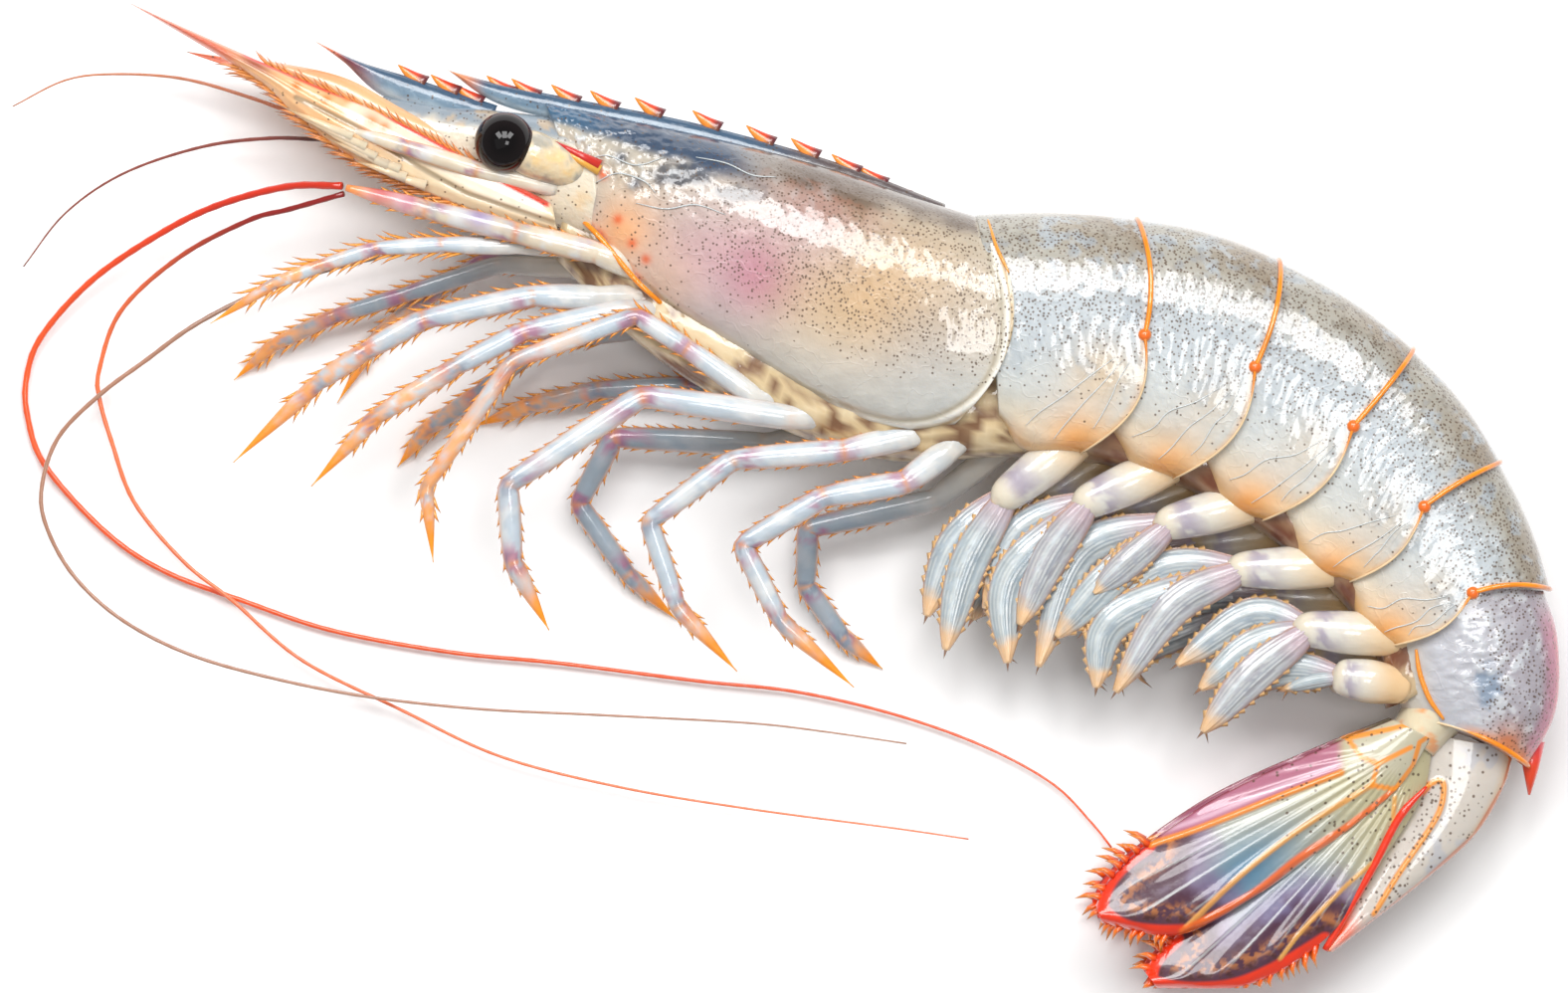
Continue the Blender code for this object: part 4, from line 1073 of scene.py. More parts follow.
def beak():
    heap = Heap()
    for edges, mesh in ((BEAK_UPPER, BEAK_LOWER), BEAK_MESH), ((CREST_UPPER, CREST_LOWER), CREST_MESH):
        middle, _, across = blade_grid(edges, MIDPLANE, MIDPLANE, *mesh)
        paint = Paint(middle, (112, 138, 158))
        wave = mottle(middle, 2.0 * MM)
        paint.coats(
            (NAVY, 0.85, (across + 0.15 * wave, 0.55, 0.25)),
            ((176, 190, 198), 0.7, (across + 0.15 * wave, 0.6, 0.9)),
        )
        if mesh is BEAK_MESH:
            paint.coats(
                ((120, 26, 40), 0.85, (paint.u, *BEAK_MAROON_COLUMNS), (across, 0.2, 0.5)),
                ((234, 110, 40), 0.9, (paint.u, *BEAK_ORANGE_COLUMNS)),
            )
        else:
            paint.coats(
                ((228, 130, 50), 0.85, (paint.u, *CREST_ORANGE_COLUMNS)),
                ((96, 76, 66), 0.8, (paint.u, *CREST_BROWN_COLUMNS)),
            )
        paint.specks(0.15)
        add_blade(heap, middle, across, BEAK_THICKNESS, 0, paint.colours)
    heap.place("beak", HEAD)
    teeth()


def teeth():
    """Forward-pointing thorns on the crest, dark at the foot, orange below and red above."""
    heap = Heap()
    shares = even(TOOTH_MESH[0])
    for tip in TOOTH_TIPS:
        foot = (tip[0] + TOOTH_REACH, tip[1] + TOOTH_DROP)
        route = [(*photo(*towards(foot, tip, s)), MIDPLANE) for s in shares]
        bow = np.sin(math.pi * shares) * 1.6 * PIXEL
        route = np.array(route) + np.column_stack([bow * 0.4, -bow, bow * 0])
        radii = TOOTH_RADIUS * (1 - shares) ** 0.8 + 0.05 * MM
        grid = tube_grid(route, radii, TOOTH_MESH[1], 0.6)
        share = spread_rows(shares, TOOTH_MESH[1])
        above = grid[..., 1] - route[:, None, 1]
        paint = Paint(grid, ORANGE)
        paint.coats(
            ((206, 40, 20), 0.9, (above, -0.02 * MM, 0.2 * MM)),
            ((50, 34, 50), 0.9, (share, 0.42, 0.1)),
        )
        heap.tube(grid, paint)
    heap.place("teeth", TRIM)


def bristles_along(heap, line, out, length, spacing, lean, colours, rng, radius):
    """Bristles on a line of 3-D points, leaning from out towards the line's end."""
    line = np.asarray(line)
    steps = path_lengths(line)
    spots = np.arange(spacing, steps[-1], spacing)
    spots = spots + rng.uniform(-0.3, 0.3, len(spots)) * spacing
    for spot in spots:
        foot = np.array([np.interp(spot, steps, line[:, k]) for k in range(3)])
        side = np.array([np.interp(spot, steps, out[:, k]) for k in range(3)])
        near = min(int(np.searchsorted(steps, spot)), len(line) - 1)
        run = line[near] - line[max(near - 1, 0)]
        run = run / max(np.linalg.norm(run), 1e-9)
        reach = length * rng.uniform(0.7, 1.2)
        direction = side + run * lean
        direction = direction / np.linalg.norm(direction)
        tip = foot + direction * reach + np.array((0, 0, rng.uniform(-0.12, 0.12) * reach))
        heap.cone(foot - direction * 0.1 * MM, tip, radius * MM, *colours, run * 0.12 * reach, 4)


def scales():
    rng = np.random.default_rng(SEED)
    heap, fringe = Heap(), Heap()
    for side in (1, -1):
        tip = SCALE_UPPER[:1] if side > 0 else (FAR_SCALE_TIP,)
        edges = (tip + SCALE_UPPER[1:], tip + SCALE_LOWER[1:])
        low, high = MIDPLANE + side * SCALE_ROOT_SPREAD, MIDPLANE + side * SCALE_TIP_SPREAD
        middle, t, across = blade_grid(edges, high, low, *SCALE_MESH)
        paint = scale_paint(middle, t, across)
        fold = line_distance(paint.u, paint.v, SCALE_FOLD)
        ribs = 0.03 * MM * np.cos(across * 2 * math.pi * 5) * np.sin(math.pi * t)
        red = line_distance(paint.u, paint.v, SCALE_RED)
        ribs += 0.14 * MM * bump(red, 0, 3) - 0.14 * MM * bump(fold, 0, 3)
        add_blade(heap, middle, across, SCALE_THICKNESS, 0.4 * side * MM, paint.colours, ribs)
        small = MIDPLANE + side * SMALL_SCALE_SPREAD
        edges_inside = (SMALL_SCALE_UPPER, SMALL_SCALE_LOWER)
        middle, t, across = blade_grid(edges_inside, small, small, *SMALL_SCALE_MESH)
        paint = Paint(middle, (232, 176, 124))
        paint.coats(
            ((220, 120, 70), 0.6, (t, 0.5, 0.1)),
            ((236, 212, 176), 0.6, bump(across, 0.5, 0.2)),
        )
        add_blade(heap, middle, across, SMALL_SCALE_THICKNESS, 0.3 * side * MM, paint.colours)
        add_scale_fringe(fringe, edges, low, high, rng)
    for start, end in SCALE_SPIKES:
        foot, tip = ((*photo(*p), MIDPLANE + SCALE_SPIKE_HEIGHT) for p in (start, end))
        heap.cone(foot, tip, 0.5 * MM, (232, 214, 184), (226, 180, 130), None, 8)
    heap.place("scales", LIMB)
    fringe.place("scale_fringe", TRIM)


def scale_paint(middle, t, across):
    """Cream scale with a red upper rib, an orange-red point, painted shade along the fold between its blades
    and orange blots.
    """
    paint = Paint(middle, (224, 204, 170))
    u, v = paint.u, paint.v
    wave = mottle(middle, 2.0 * MM)
    fine = mottle(middle, 0.7 * MM)
    paint.coats(
        ((234, 172, 112), 0.7, (u + 20 * wave, *SCALE_PEACH_COLUMNS)),
        ((238, 230, 212), 0.7, (line_distance(u, v, SCALE_SHINE), 16, 5)),
        # Painted shade: a darker tan along the groove of the fold
        ((158, 140, 112), 0.8, (line_distance(u, v, SCALE_FOLD), 4, 1.5)),
        ((226, 92, 40), 0.85, (u + 10 * wave, *SCALE_POINT_COLUMNS)),
        ((140, 22, 22), 0.8, bump(u, *SCALE_DARK_BAND), (across, 0.7, 0.4)),
        ((150, 24, 24), 0.5, bump(across, 0.5, 0.2), (u, *SCALE_STREAK_COLUMNS)),
    )
    paint.line((214, 44, 20), SCALE_RED, 5, 0.95)
    for blot in SCALE_BLOTS:
        paint.patch((240, 116, 24), *blot, 0.9)
    paint.coat((222, 120, 60), 0.7, (across + 0.05 * fine, 0.95, 1.0), (u, *SCALE_EDGE_COLUMNS))
    return paint.vary(1.2 * MM, 0.08).specks(0.06)


def add_scale_fringe(fringe, edges, low, high, rng):
    for edge, sign, reach, start in ((edges[0], -1, 1.1, 0.2), (edges[1], 1, 1.4, 0.16)):
        shares = start + (0.95 - start) * even(60)
        flat = spline([photo(*p) for p in edge], shares)
        line = np.column_stack([flat, high + (low - high) * shares])[::-1]
        out = sideways(line) * sign
        colours = ((240, 160, 84), (196, 92, 28))
        bristles_along(fringe, line, out, 1.5 * reach * MM, 0.8 * MM, 2.2, colours, rng, 0.18)


def peduncle_spots():
    """The thorn behind the eye, red above and yellow below."""
    heap = Heap()
    red, yellow = ((206, 44, 30), (196, 30, 30)), ((236, 176, 70), (240, 150, 60))
    for drop, colours in ((0, red), (5, yellow)):
        foot, point = (photo(u, v + drop) for u, v in HEAD_THORN)
        low, high = MIDPLANE + (4.1 - 0.02 * drop) * MM, MIDPLANE + 3.7 * MM
        heap.cone((*foot, low), (*point, high), 0.5 * MM, *colours, None, 12)
    heap.place("head_spines", TRIM)


def eyes():
    for side in (1, -1):
        tag = "near" if side > 0 else "far"
        centre = np.array((*photo(*EYE_CENTRE), MIDPLANE + side * EYE_SPREAD))
        ball = ball_grid(*EYE_MESH)
        grid = centre + ball * EYE_RADIUS
        tilt = np.abs(ball[..., 2])
        paint = Paint(grid, (16, 9, 10))
        paint.coats(
            ((84, 22, 16), 0.9, (tilt, 0.5, 0.1)),
            ((4, 2, 3), 0.9, (tilt, 0.8, 0.97)),
        )
        loft(f"eye_{tag}", grid, paint, EYE)
        stalk = [(*photo(u, v), MIDPLANE + side * out * MM, radius * MM) for u, v, out, radius in EYE_STALK]
        line = spline(stalk, even(STALK_MESH[0]))
        grid = tube_grid(line[:, :3], line[:, 3], STALK_MESH[1])
        paint = Paint(grid, (226, 206, 170))
        wave = mottle(grid, 1.6 * MM)
        paint.coats(
            ((120, 132, 140), 0.6, (wave, 0.0, 0.4)),
            ((240, 200, 130), 0.6, (wave, -0.1, -0.5)),
        )
        loft(f"eye_stalk_{tag}", grid, paint, HEAD)


def limb_line(side, width, joints, blunt):
    """Places, radii and joint shares along a jointed leg."""
    flat = np.array([photo(*joint) for joint in joints])
    last = len(flat) - 1
    tip_spread = LIMB_TIP_SPREAD if side > 0 else MIDPLANE - LIMB_TIP_RADIUS / 2
    spreads = np.interp(even(last + 1), (0, 0.55, 1), (LIMB_ROOT_SPREAD, LIMB_KNEE_SPREAD, tip_spread))
    if not blunt:
        spreads[0] = LIMB_HIP_SPREAD
    corners = np.column_stack([flat, MIDPLANE + side * spreads])
    points, radii, nearness, order = [], [], [], []
    fine = 18
    for i in range(last):
        near, far = (width * MM / 2 * (1 - LIMB_NARROWING * joint) for joint in (i, i + 1))
        for share in even(fine)[: None if i == last - 1 else -1]:
            points.append(corners[i] + (corners[i + 1] - corners[i]) * share)
            swell = 0.9 + 0.13 * math.sin(math.pi * min(share * 1.1, 1)) ** 0.5
            radius = (near + (far - near) * share) * swell
            if i == last - 1:
                radius *= max(1 - share**1.5 * (0.6 if blunt else 1), 0.08)
            radii.append(radius)
            nearness.append(min(share, 1 - share) if i < last - 1 else share)
            order.append((i + share) / last)
    points = np.array(points)
    points[1:-1] = (points[:-2] + 2 * points[1:-1] + points[2:]) / 4
    return points, np.array(radii), np.array(nearness), np.array(order)


def limbs():
    rng = np.random.default_rng(SEED + 1)
    fringe = Heap()
    for number, (name, (side, width, bristle, joints)) in enumerate(LIMBS.items()):
        line, radii, nearness, order = limb_line(side, width, joints, "ant" in name)
        grid = tube_grid(line, radii, LIMB_SIDES, LIMB_FLATNESS)
        grid[..., 2] = np.maximum(grid[..., 2], 0.0)
        close, along = (spread_rows(shares, LIMB_SIDES) for shares in (nearness, order))
        paint = limb_paint(grid, number, name, side > 0, close, along)
        loft(name, grid, paint, LIMB)
        if bristle:
            limb_bristles(fringe, line, radii, bristle, rng)
    fringe.place("leg_bristles", TRIM)


def limb_paint(grid, number, name, near, close, along):
    """Glassy blue-grey lengths, lilac and a thin amber line by the joints, and orange towards the tip."""
    feeler, walking = "ant" in name, "walking" in name
    turns = np.abs(np.cos(2 * math.pi * (np.arange(LIMB_SIDES) + 0.5) / LIMB_SIDES))
    flank = np.broadcast_to(turns, close.shape)
    # The far side's legs get darker copies of the blue-grey base and blotches, as painted shade
    base = (184, 195, 204) if near else (146, 160, 172)
    paint = Paint(grid, (214, 200, 178) if feeler else base)
    wave = mottle(grid + number, 1.8 * MM)
    fine = mottle(grid + number, 0.7 * MM)
    paint.coats(
        ((214, 216, 216) if near else (164, 172, 180), 0.8, (wave, -0.2, 0.3)),
        ((218, 204, 182), 0.6, (along, 0.34, 0.05)),
    )
    lilac = step(close, 0.34, 0.1) * step(along, 0.2, 0.4) * step(wave + 0.5 * fine, -0.1, 0.3)
    paint.coats(
        ((158, 84, 124), 0.8, lilac),
        ((96, 98, 122), 0.5, (close, 0.2, 0.06), (along, 0.3, 0.6), (fine, 0.2, -0.2)),
    )
    orange = step(along + 0.06 * wave, 0.78, 0.94) if walking else step(along + 0.12 * wave, 0.5, 0.85)
    amber = 0 if feeler else 0.85 * orange
    paint.coats(
        ((240, 160, 74), amber, (fine, -0.6, 0.2)),
        ((246, 146, 10), 0 if feeler else 0.97 * step(along, 0.84, 0.95)),
        ((214, 140, 70), 0.6, (close, 0.025, 0.008), (along, 0.15, 0.3), (fine, -0.4, 0.1)),
        ((222, 138, 56), 0.85, (flank, 0.84, 0.96), (along, 0.15, 0.4)),
    )
    if feeler:
        for patch in FEELER_PATCHES:
            paint.patch(*patch)
    return paint.vary(1.2 * MM, 0.08)


def limb_bristles(fringe, line, radii, bristle, rng):
    across = sideways(line)
    first, last = len(line) // 4, -max(len(line) // 9, 1)
    colours = ((244, 170, 70), (220, 116, 10))
    for sign in (1, -1):
        edge = line + across * radii[:, None] * sign * 0.85
        out = across[first:last] * sign
        length = bristle * 1.2 * MM
        bristles_along(fringe, edge[first:last], out, length, 1.25 * MM, 2.2, colours, rng, 0.19)


def leaf_edges(root, middle, tip, width):
    """The two edges, in pixels, of a curved leaf from root to tip."""
    shares = even(9)
    line = spline((root, middle, tip), shares)
    run = np.gradient(line, axis=0)
    across = np.column_stack([-run[:, 1], run[:, 0]]) / np.linalg.norm(run, axis=1)[:, None]
    spread = width / PIXEL / 2 * np.sin(math.pi * (0.1 + 0.88 * shares)) ** 0.6
    return line - across * spread[:, None], line + across * spread[:, None]


def far_swimmeret(number):
    """The far side's stem and blades: those of the near side, part of the way to the next pair's."""
    root, end, blades = SWIMMERETS[number]
    next_root, next_end, next_blades = SWIMMERETS[min(number + 1, len(SWIMMERETS) - 1)]
    shift = tuple(FAR_SWIM_SHARE * (b - a) for a, b in zip(end, next_end, strict=True))
    moved = []
    for (mu, mv, tu, tv), (_, _, next_u, next_v) in zip(blades[:2], next_blades[:2], strict=True):
        tip = towards((tu, tv), (next_u, next_v), FAR_SWIM_SHARE)
        moved.append((mu + shift[0], mv + shift[1], tip[0], tip[1] - FAR_BLADE_LIFT))
    return towards(root, next_root, FAR_SWIM_SHARE), tuple(np.add(end, shift)), moved


def swimmerets():
    rng = np.random.default_rng(SEED + 2)
    blades, fringe = Heap(), Heap()
    for number, (root, end, tips) in enumerate(SWIMMERETS):
        for side, (root, end, tips) in ((1, (root, end, tips)), (-1, far_swimmeret(number))):
            swimmeret_stem(number, side, root, end)
            for index, (mu, mv, tu, tv) in enumerate(tips):
                length = math.hypot(tu - end[0], tv - end[1]) * PIXEL
                width = min(SWIM_BLADE_WIDTH, SWIM_BLADE_SHARE * length)
                edges = leaf_edges(towards(end, root, 0.08), (mu, mv), (tu, tv), width)
                height = MIDPLANE + side * (SWIM_SPREAD + (index - 1) * SWIM_BLADE_STEP)
                swim_blade(blades, fringe, edges, height, side, index, rng)
    blades.place("swim_blades", LIMB)
    fringe.place("swim_fringe", TRIM)


def swim_blade(blades, fringe, edges, height, side, index, rng):
    """A glassy blade: pale streaks along it, a brown edge, a peach tip and thorns that point to the tip."""
    middle, t, across = blade_grid(edges, height, height - SWIM_BLADE_FALL, *SWIM_BLADE_MESH)
    rib = 0.07 * MM * (bump(across, 0.35, 0.06) + bump(across, 0.62, 0.06)) + 0.03 * MM * np.cos(across * 40)
    base = ((156, 168, 176), (168, 180, 186), (170, 166, 172))[index]
    # Far blades are painted a darker blue-grey than near ones, as shade
    paint = Paint(middle, base if side > 0 else (112, 124, 134))
    wave = mottle(middle, 1.4 * MM)
    paint.coats(
        ((206, 214, 216), 0.8, bump(across + 0.04 * wave, 0.64, 0.08)),
        ((196, 204, 206), 0.6, bump(across + 0.05 * wave, 0.2, 0.06)),
        ((104, 120, 132), 0.6, bump(across, 0.4, 0.12), (t, 0.1, 0.3)),
    )
    streaks = np.cos(across * 55 + 2 * wave)
    paint.coats(
        ((214, 216, 210), 0.45, (streaks, 0.2, 0.9)),
        ((126, 132, 136), 0.35, (streaks, -0.3, -0.9)),
        ((190, 156, 166), 0.6, (t, 0.34, 0.1)),
        ((228, 184, 134), 0.9, (t + 0.06 * wave, 0.8, 0.95)),
        ((170, 108, 56), 0.9, (np.abs(across - 0.5), 0.43, 0.48)),
    )
    paint.vary(1.2 * MM, 0.12)
    add_blade(blades, middle, across, SWIM_BLADE_THICKNESS, 0.2 * MM, paint.colours, rib)
    colours = ((216, 172, 118), (136, 78, 36))
    centre = SWIM_BLADE_MESH[1] // 2
    foot, point = middle[-9, centre], middle[-1, centre]
    heading = (point - foot) / np.linalg.norm(point - foot)
    fringe.cone(foot, point + heading * 0.8 * MM, 0.5 * MM, (232, 190, 142), (150, 84, 36), None, 8)
    for column, sign, first, reach in ((0, -1, 14, 1.8), (-1, 1, 10, 2.5)):
        line = middle[first:-7, column]
        bristles_along(fringe, line, sideways(line) * sign, reach * MM, 0.95 * MM, 1.9, colours, rng, 0.26)


def swimmeret_stem(number, side, root, end):
    spread = MIDPLANE + side * SWIM_SPREAD
    rows = [
        (*photo(*root), MIDPLANE + side * 0.7 * SWIM_SPREAD, 0.4),
        (*photo(*towards(root, end, 0.5)), spread, 0.52),
        (*photo(*towards(root, end, 0.85)), spread, 0.46),
        (*photo(*towards(root, end, 1.0)), spread, 0.36),
        (*photo(*towards(root, end, 1.08)), spread, 0.12),
    ]
    shares = even(STEM_MESH[0])
    line = spline(rows, shares)
    grid = tube_grid(line[:, :3], line[:, 3] * STEM_WIDTH, STEM_MESH[1], STEM_FLATNESS)
    share = spread_rows(shares, STEM_MESH[1])
    # Far stems are painted a darker, browner cream than near ones, as shade
    paint = Paint(grid, (222, 212, 192) if side > 0 else (200, 178, 140))
    wave = mottle(grid, 1.2 * MM)
    paint.coats(
        ((118, 66, 112), 0.95, bump(share, 0.47, 0.09), (wave, -0.3, 0.0)),
        ((232, 180, 104), 0.6, (share, 0.35, 0.1)),
        ((205, 210, 214), 0.5, bump(share, 0.45, 0.15)),
        ((225, 170, 110), 0.6, (share, 0.9, 1.0)),
    )
    tag = "near" if side > 0 else "far"
    loft(f"swimmeret_{number + 1}_{tag}", grid, paint, LIMB)


def fan_paint(middle, t, across, tip_line, hub, outer):
    """Blue-green plate with an orange frame, fine rays from its root and a dark end with a red rim."""
    paint = Paint(middle, (186, 180, 158))
    u, v = paint.u, paint.v
    wave = mottle(middle, 1.6 * MM)
    fine = mottle(middle, 0.6 * MM)
    end = line_distance(u, v, smooth_route(tip_line))
    away = np.hypot(u - hub[0], v - hub[1])
    rays = np.abs(np.sin(np.arctan2(v - hub[1], hub[0] - u) * 34))
    paint.coat((186, 176, 128), 0.6, (away, 170, 70))
    teal = bump(away, 215, 75) * bump(np.arctan2(v - hub[1], hub[0] - u), 0.66 if outer else 0.86, 0.22)
    paint.coats(
        ((84, 130, 158), 0.95, teal),
        ((122, 92, 134), 0.75, (end + 8 * wave, 86, 48)),
        ((72, 26, 46), 0.9, (end + 9 * wave, 56, 36)),
        ((186, 116, 66), 0.9, bump(end + 5 * fine, 23, 7), (fine, -0.2, 0.15)),
        ((60, 20, 28), 0.9, bump(end, 14, 5), (fine, 0.0, 0.25)),
        ((196, 204, 200), 0.45, (rays, 0.2, 0.05), (away, 60, 120), (end, 12, 30)),
        ((238, 52, 8), 0.97, (end, 10, 6)),
    )
    if outer:
        strip = step(strip_side(u, v), -3, 3) * step(u, *STRIP_COLUMNS)
        paint.coats(
            ((176, 100, 130), 0.9, strip),
            ((222, 184, 200), 0.8, strip, bump(strip_side(u, v), 9, 3)),
            ((196, 190, 168), 0.8, (u, *FAN_PALE_COLUMNS), (v, *FAN_PALE_ROWS)),
            ((120, 26, 44), 0.9, (across, 0.035, 0.0)),
        )
        paint.line((240, 140, 30), smooth_route(FAN_STRIP), 4.5)
        paint.line((226, 160, 80), smooth_route(FAN_RIB), 4)
        paint.line((238, 104, 22), smooth_route(FAN_SEAM), 6)
        paint.line((246, 146, 30), PROTOPOD, 3.4)
        paint.line((246, 146, 30), PROTOPOD_SEAM, 3.4)
    else:
        paint.line((226, 166, 84), smooth_route(INNER_RIB), 3)
    return paint.specks(0.22 * step(away, 190, 120))


def strip_side(u, v):
    """How far a place lies in front of the line between the near plate's pink strip and its web."""
    route = smooth_route(FAN_STRIP)
    line_u, line_v = np.array(route[::-1]).T
    return np.interp(u, line_u, line_v) - v


def tail_fan():
    rng = np.random.default_rng(SEED + 3)
    heap, spines = Heap(), Heap()
    plates = (
        (OUTER_FAN_EDGES, 2.5, FAN_TIP_LINES, OUTER_FAN_HUB, True),
        (INNER_FAN_EDGES, 1.2, INNER_TIP_LINES, INNER_FAN_HUB, False),
    )
    for side in (1, -1):
        splay = FAN_SPLAY_NEAR if side > 0 else FAN_SPLAY_FAR
        for edges, spread, tip_line, hub, outer in plates:
            height = MIDPLANE + side * spread * MM
            middle, t, across = blade_grid(edges, height, height + side * splay, *FAN_MESH)
            paint = fan_paint(middle, t, across, tip_line, hub, outer)
            angle = np.arctan2(paint.v - hub[1], hub[0] - paint.u)
            relief = 0.05 * MM * np.cos(angle * 68) * step(t, 0.1, 0.3)
            ribs = ((FAN_STRIP, FAN_RIB, FAN_SEAM), 0.16, 3) if outer else ((INNER_RIB,), 0.12, 2.5)
            for route in ribs[0]:
                away = line_distance(paint.u, paint.v, smooth_route(route))
                relief += ribs[1] * MM * bump(away, 0, ribs[2])
            add_blade(heap, middle, across, FAN_THICKNESS, side * FAN_ARCH, paint.colours, relief)
            fan_spines(spines, middle, tip_line, rng)
    heap.place("tail_fan", FAN)
    telson()
    spines.place("fan_spines", TRIM)
    fan_root()


def telson():
    middle, _, across = blade_grid(TELSON_EDGES, MIDPLANE, MIDPLANE, *TELSON_MESH)
    paint = Paint(middle, (200, 192, 182))
    u, v = paint.u, paint.v
    wave = mottle(middle, 2 * MM)
    red, rib = smooth_route(BLADE_RED), smooth_route(BLADE_RIB)
    paint.coats(
        ((172, 176, 186), 0.6, (wave, 0.0, 0.4), (across, 0.3, 0.6)),
        ((220, 170, 100), 0.5, (across, 0.86, 1.0)),
        ((214, 196, 140), 0.6, (across, 0.2, 0.0)),
    )
    paint.line((226, 60, 20), red, 7)
    paint.line((242, 140, 50), [(a + 2, b + 2) for a, b in red], 2.4, 0.8)
    paint.line((240, 150, 40), rib, 4)
    paint.patch(*TELSON_SPOT)
    paint.line((240, 150, 50), smooth_route(TAIL_REAR_EDGE), 4, 0.8)
    paint.line((196, 96, 50), TELSON_EDGES[1], 4, 0.7)
    paint.specks(0.5 * step(line_distance(u, v, rib), 30, 4) + 0.2)
    relief = 0.3 * MM * bump(line_distance(u, v, red), 0, 4)
    relief += 0.15 * MM * bump(line_distance(u, v, rib), 0, 3)
    heap = Heap()
    add_blade(heap, middle, across, TELSON_THICKNESS, 0, paint.colours, relief)
    heights = np.interp(even(len(red)), (0, 0.2, 1), (1.9, 2.3, 1.2)) * MM + MIDPLANE
    edge = np.column_stack([[photo(*place) for place in red], heights])
    tube = tube_grid(edge, np.interp(even(len(red)), (0, 0.2, 1), (0.15, 0.36, 0.3)) * MM, 10)
    heap.tube(tube, Paint(tube, (234, 50, 14)))
    heap.place("telson", FAN)


def fan_spines(spines, middle, tip_line, rng):
    """Short spines round a plate's end, the corner ones larger."""
    route = np.array([photo(*p) for p in smooth_route(tip_line)])
    spine = middle[:, FAN_MESH[1] // 2]
    spine = spine[np.argsort(spine[:, 0])]
    height = np.interp(route[:, 0], spine[:, 0], spine[:, 2])
    border = np.column_stack([route, height])
    out = sideways(border)
    inside = np.array((*photo(*FAN_INSIDE), 0)) - border
    out *= np.where((out * inside).sum(1) > 0, -1, 1)[:, None]
    root, end = (np.array((*photo(*p), 0)) for p in FAN_FLOW)
    lean = end - root
    out = out + 0.5 * lean / np.linalg.norm(lean)
    colours = ((240, 60, 8), (250, 150, 20))
    bristles_along(spines, border, out, 1.75 * MM, 1.05 * MM, 0.0, colours, rng, 0.42)


def fan_root():
    route = [(*photo(*p), MIDPLANE) for p in FAN_ROOT]
    shares = even(FAN_ROOT_MESH[0])
    radii = np.interp(shares, (0, 0.5, 1), (0.5, 0.5, 0.42)) * FAN_ROOT_WIDTH
    grid = tube_grid(spline(route, shares), radii, FAN_ROOT_MESH[1], 1.2)
    paint = Paint(grid, (222, 210, 180))
    wave = mottle(grid, 1.6 * MM)
    paint.coat(ORANGE, 0.7, (wave, 0.2, 0.45))
    loft("fan_root", grid, paint, LIMB)


def hinges():
    heap = Heap()
    for _, hinge, *_, rear_width in ABDOMEN:
        for side in (1, -1):
            centre = np.array((*photo(*hinge), MIDPLANE + side * (rear_width * MM - HINGE_RADIUS * 0.45)))
            grid = centre + ball_grid(*HINGE_MESH) * HINGE_RADIUS
            paint = Paint(grid, (238, 110, 28))
            paint.coat((250, 180, 60), (grid[..., 2], centre[2] + 0.45 * MM, centre[2] + 0.1 * MM), 0.6)
            heap.tube(grid, paint)
    heap.place("hinges", TRIM)


WHISKER_COLOURS = {
    "antennule_front": ((170, 90, 50), (190, 110, 70)),
    "antennule_rear": ((66, 36, 28), (130, 60, 50)),
    "antenna_upper": ((206, 44, 16), (236, 84, 24)),
    "antenna_lower": ((140, 24, 20), (236, 112, 62)),
    "antenna_far": ((120, 106, 96), (166, 120, 96)),
}


def whiskers():
    for name, (root_height, rest_height, width, landmarks) in WHISKERS.items():
        route = spline([photo(*p) for p in landmarks], even(len(landmarks) * 12))
        steps = path_lengths(route)
        count = int(steps[-1] / WHISKER_STEP)
        shares = even(count)
        spots = [np.interp(shares * steps[-1], steps, route[:, axis]) for axis in (0, 1)]
        fall = np.clip(1 - shares * steps[-1] / WHISKER_FALL, 0, 1) ** 2
        heights = (rest_height + (root_height - rest_height) * fall) * MM
        rings_along = 1 + 0.05 * np.cos(np.arange(count) * math.pi)
        radii = width / 2 * MM * (1 - (1 - WHISKER_TIP_SHARE) * shares) * rings_along
        grid = tube_grid(np.column_stack([*spots, heights]), radii, WHISKER_SIDES)
        root, tip = WHISKER_COLOURS[name]
        paint = Paint(grid, root)
        paint.coat(tip, (spread_rows(shares, WHISKER_SIDES), 0.05, 0.25))
        paint.vary(3 * MM, 0.1)
        slot = "whisker_red" if name in ("antenna_upper", "antenna_lower") else "whisker_brown"
        loft(name + "_fine", grid, paint, TRIM, slot=slot, nodes=(name,))


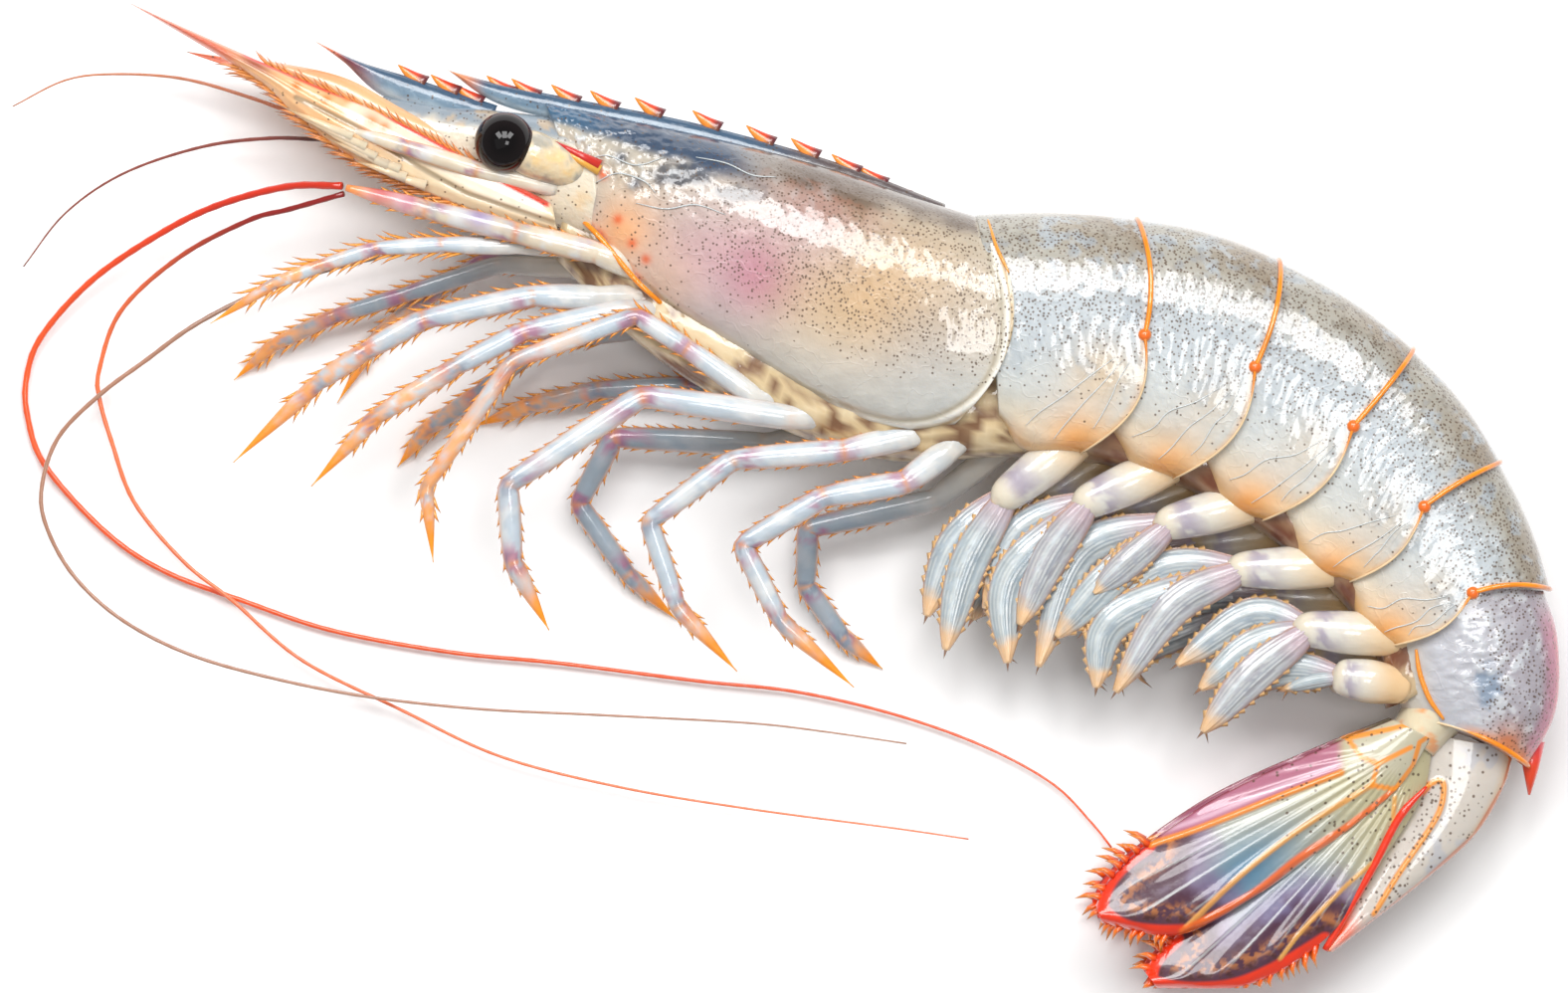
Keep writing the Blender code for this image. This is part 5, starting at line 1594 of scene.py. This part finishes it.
def soft_light(name, place_at, power, width, height):
    """A lamp that faces the middle of the animal."""
    data = bpy.data.lights.new(name, "AREA")
    data.shape = "RECTANGLE"
    data.size, data.size_y = width, height
    data.energy = power
    made = bpy.data.objects.new(name, data)
    bpy.context.scene.collection.objects.link(made)
    made.location = place_at
    made.rotation_mode = "QUATERNION"
    made.rotation_quaternion = (Vector(STUDIO_CENTRE) - Vector(place_at)).to_track_quat("-Z", "Y")


def studio():
    """A pale floor, a soft sky, three tall windows beyond the back and a broad light overhead."""
    mesh = bpy.data.meshes.new("floor")
    corners = [(x * FLOOR_REACH, y * FLOOR_REACH, 0) for x, y in ((-1, -1), (1, -1), (1, 1), (-1, 1))]
    mesh.from_pydata(corners, [], [(0, 1, 2, 3)])
    floor = bpy.data.objects.new("floor", mesh)
    bpy.context.scene.collection.objects.link(floor)
    floor.location.z = -FLOOR_GAP
    pale, surface, fill, _ = node_material("pale_floor")
    fill(surface, Base_Color=(0.97, 0.97, 0.97, 1), Roughness=0.9)
    mesh.materials.append(pale)
    world = bpy.data.worlds.new("sky")
    world.use_nodes = True
    sky = world.node_tree.nodes["Background"]
    sky.inputs["Color"].default_value = (1, 1, 1, 1)
    sky.inputs["Strength"].default_value = SKY_STRENGTH
    bpy.context.scene.world = world
    for light in LIGHTS:
        soft_light(*light)


def camera():
    data = bpy.data.cameras.new("camera")
    data.lens = CAMERA_LENS
    data.sensor_width = CAMERA_SENSOR
    made = bpy.data.objects.new("camera", data)
    bpy.context.scene.collection.objects.link(made)
    distance = CAMERA_LENS / CAMERA_SENSOR * PHOTO_WIDTH * PIXEL
    x, y = photo(PHOTO_WIDTH / 2, PHOTO_HEIGHT / 2)
    made.location = (x, y, MIDPLANE + distance)
    data.clip_start = 0.01
    data.clip_end = 10
    bpy.context.scene.camera = made


def main():
    carapace()
    rings()
    tail_ring()
    cores()
    beak()
    scales()
    peduncle_spots()
    eyes()
    limbs()
    swimmerets()
    tail_fan()
    hinges()
    whiskers()
    studio()
    camera()
    bpy.context.scene.view_settings.view_transform = "Standard"


main()
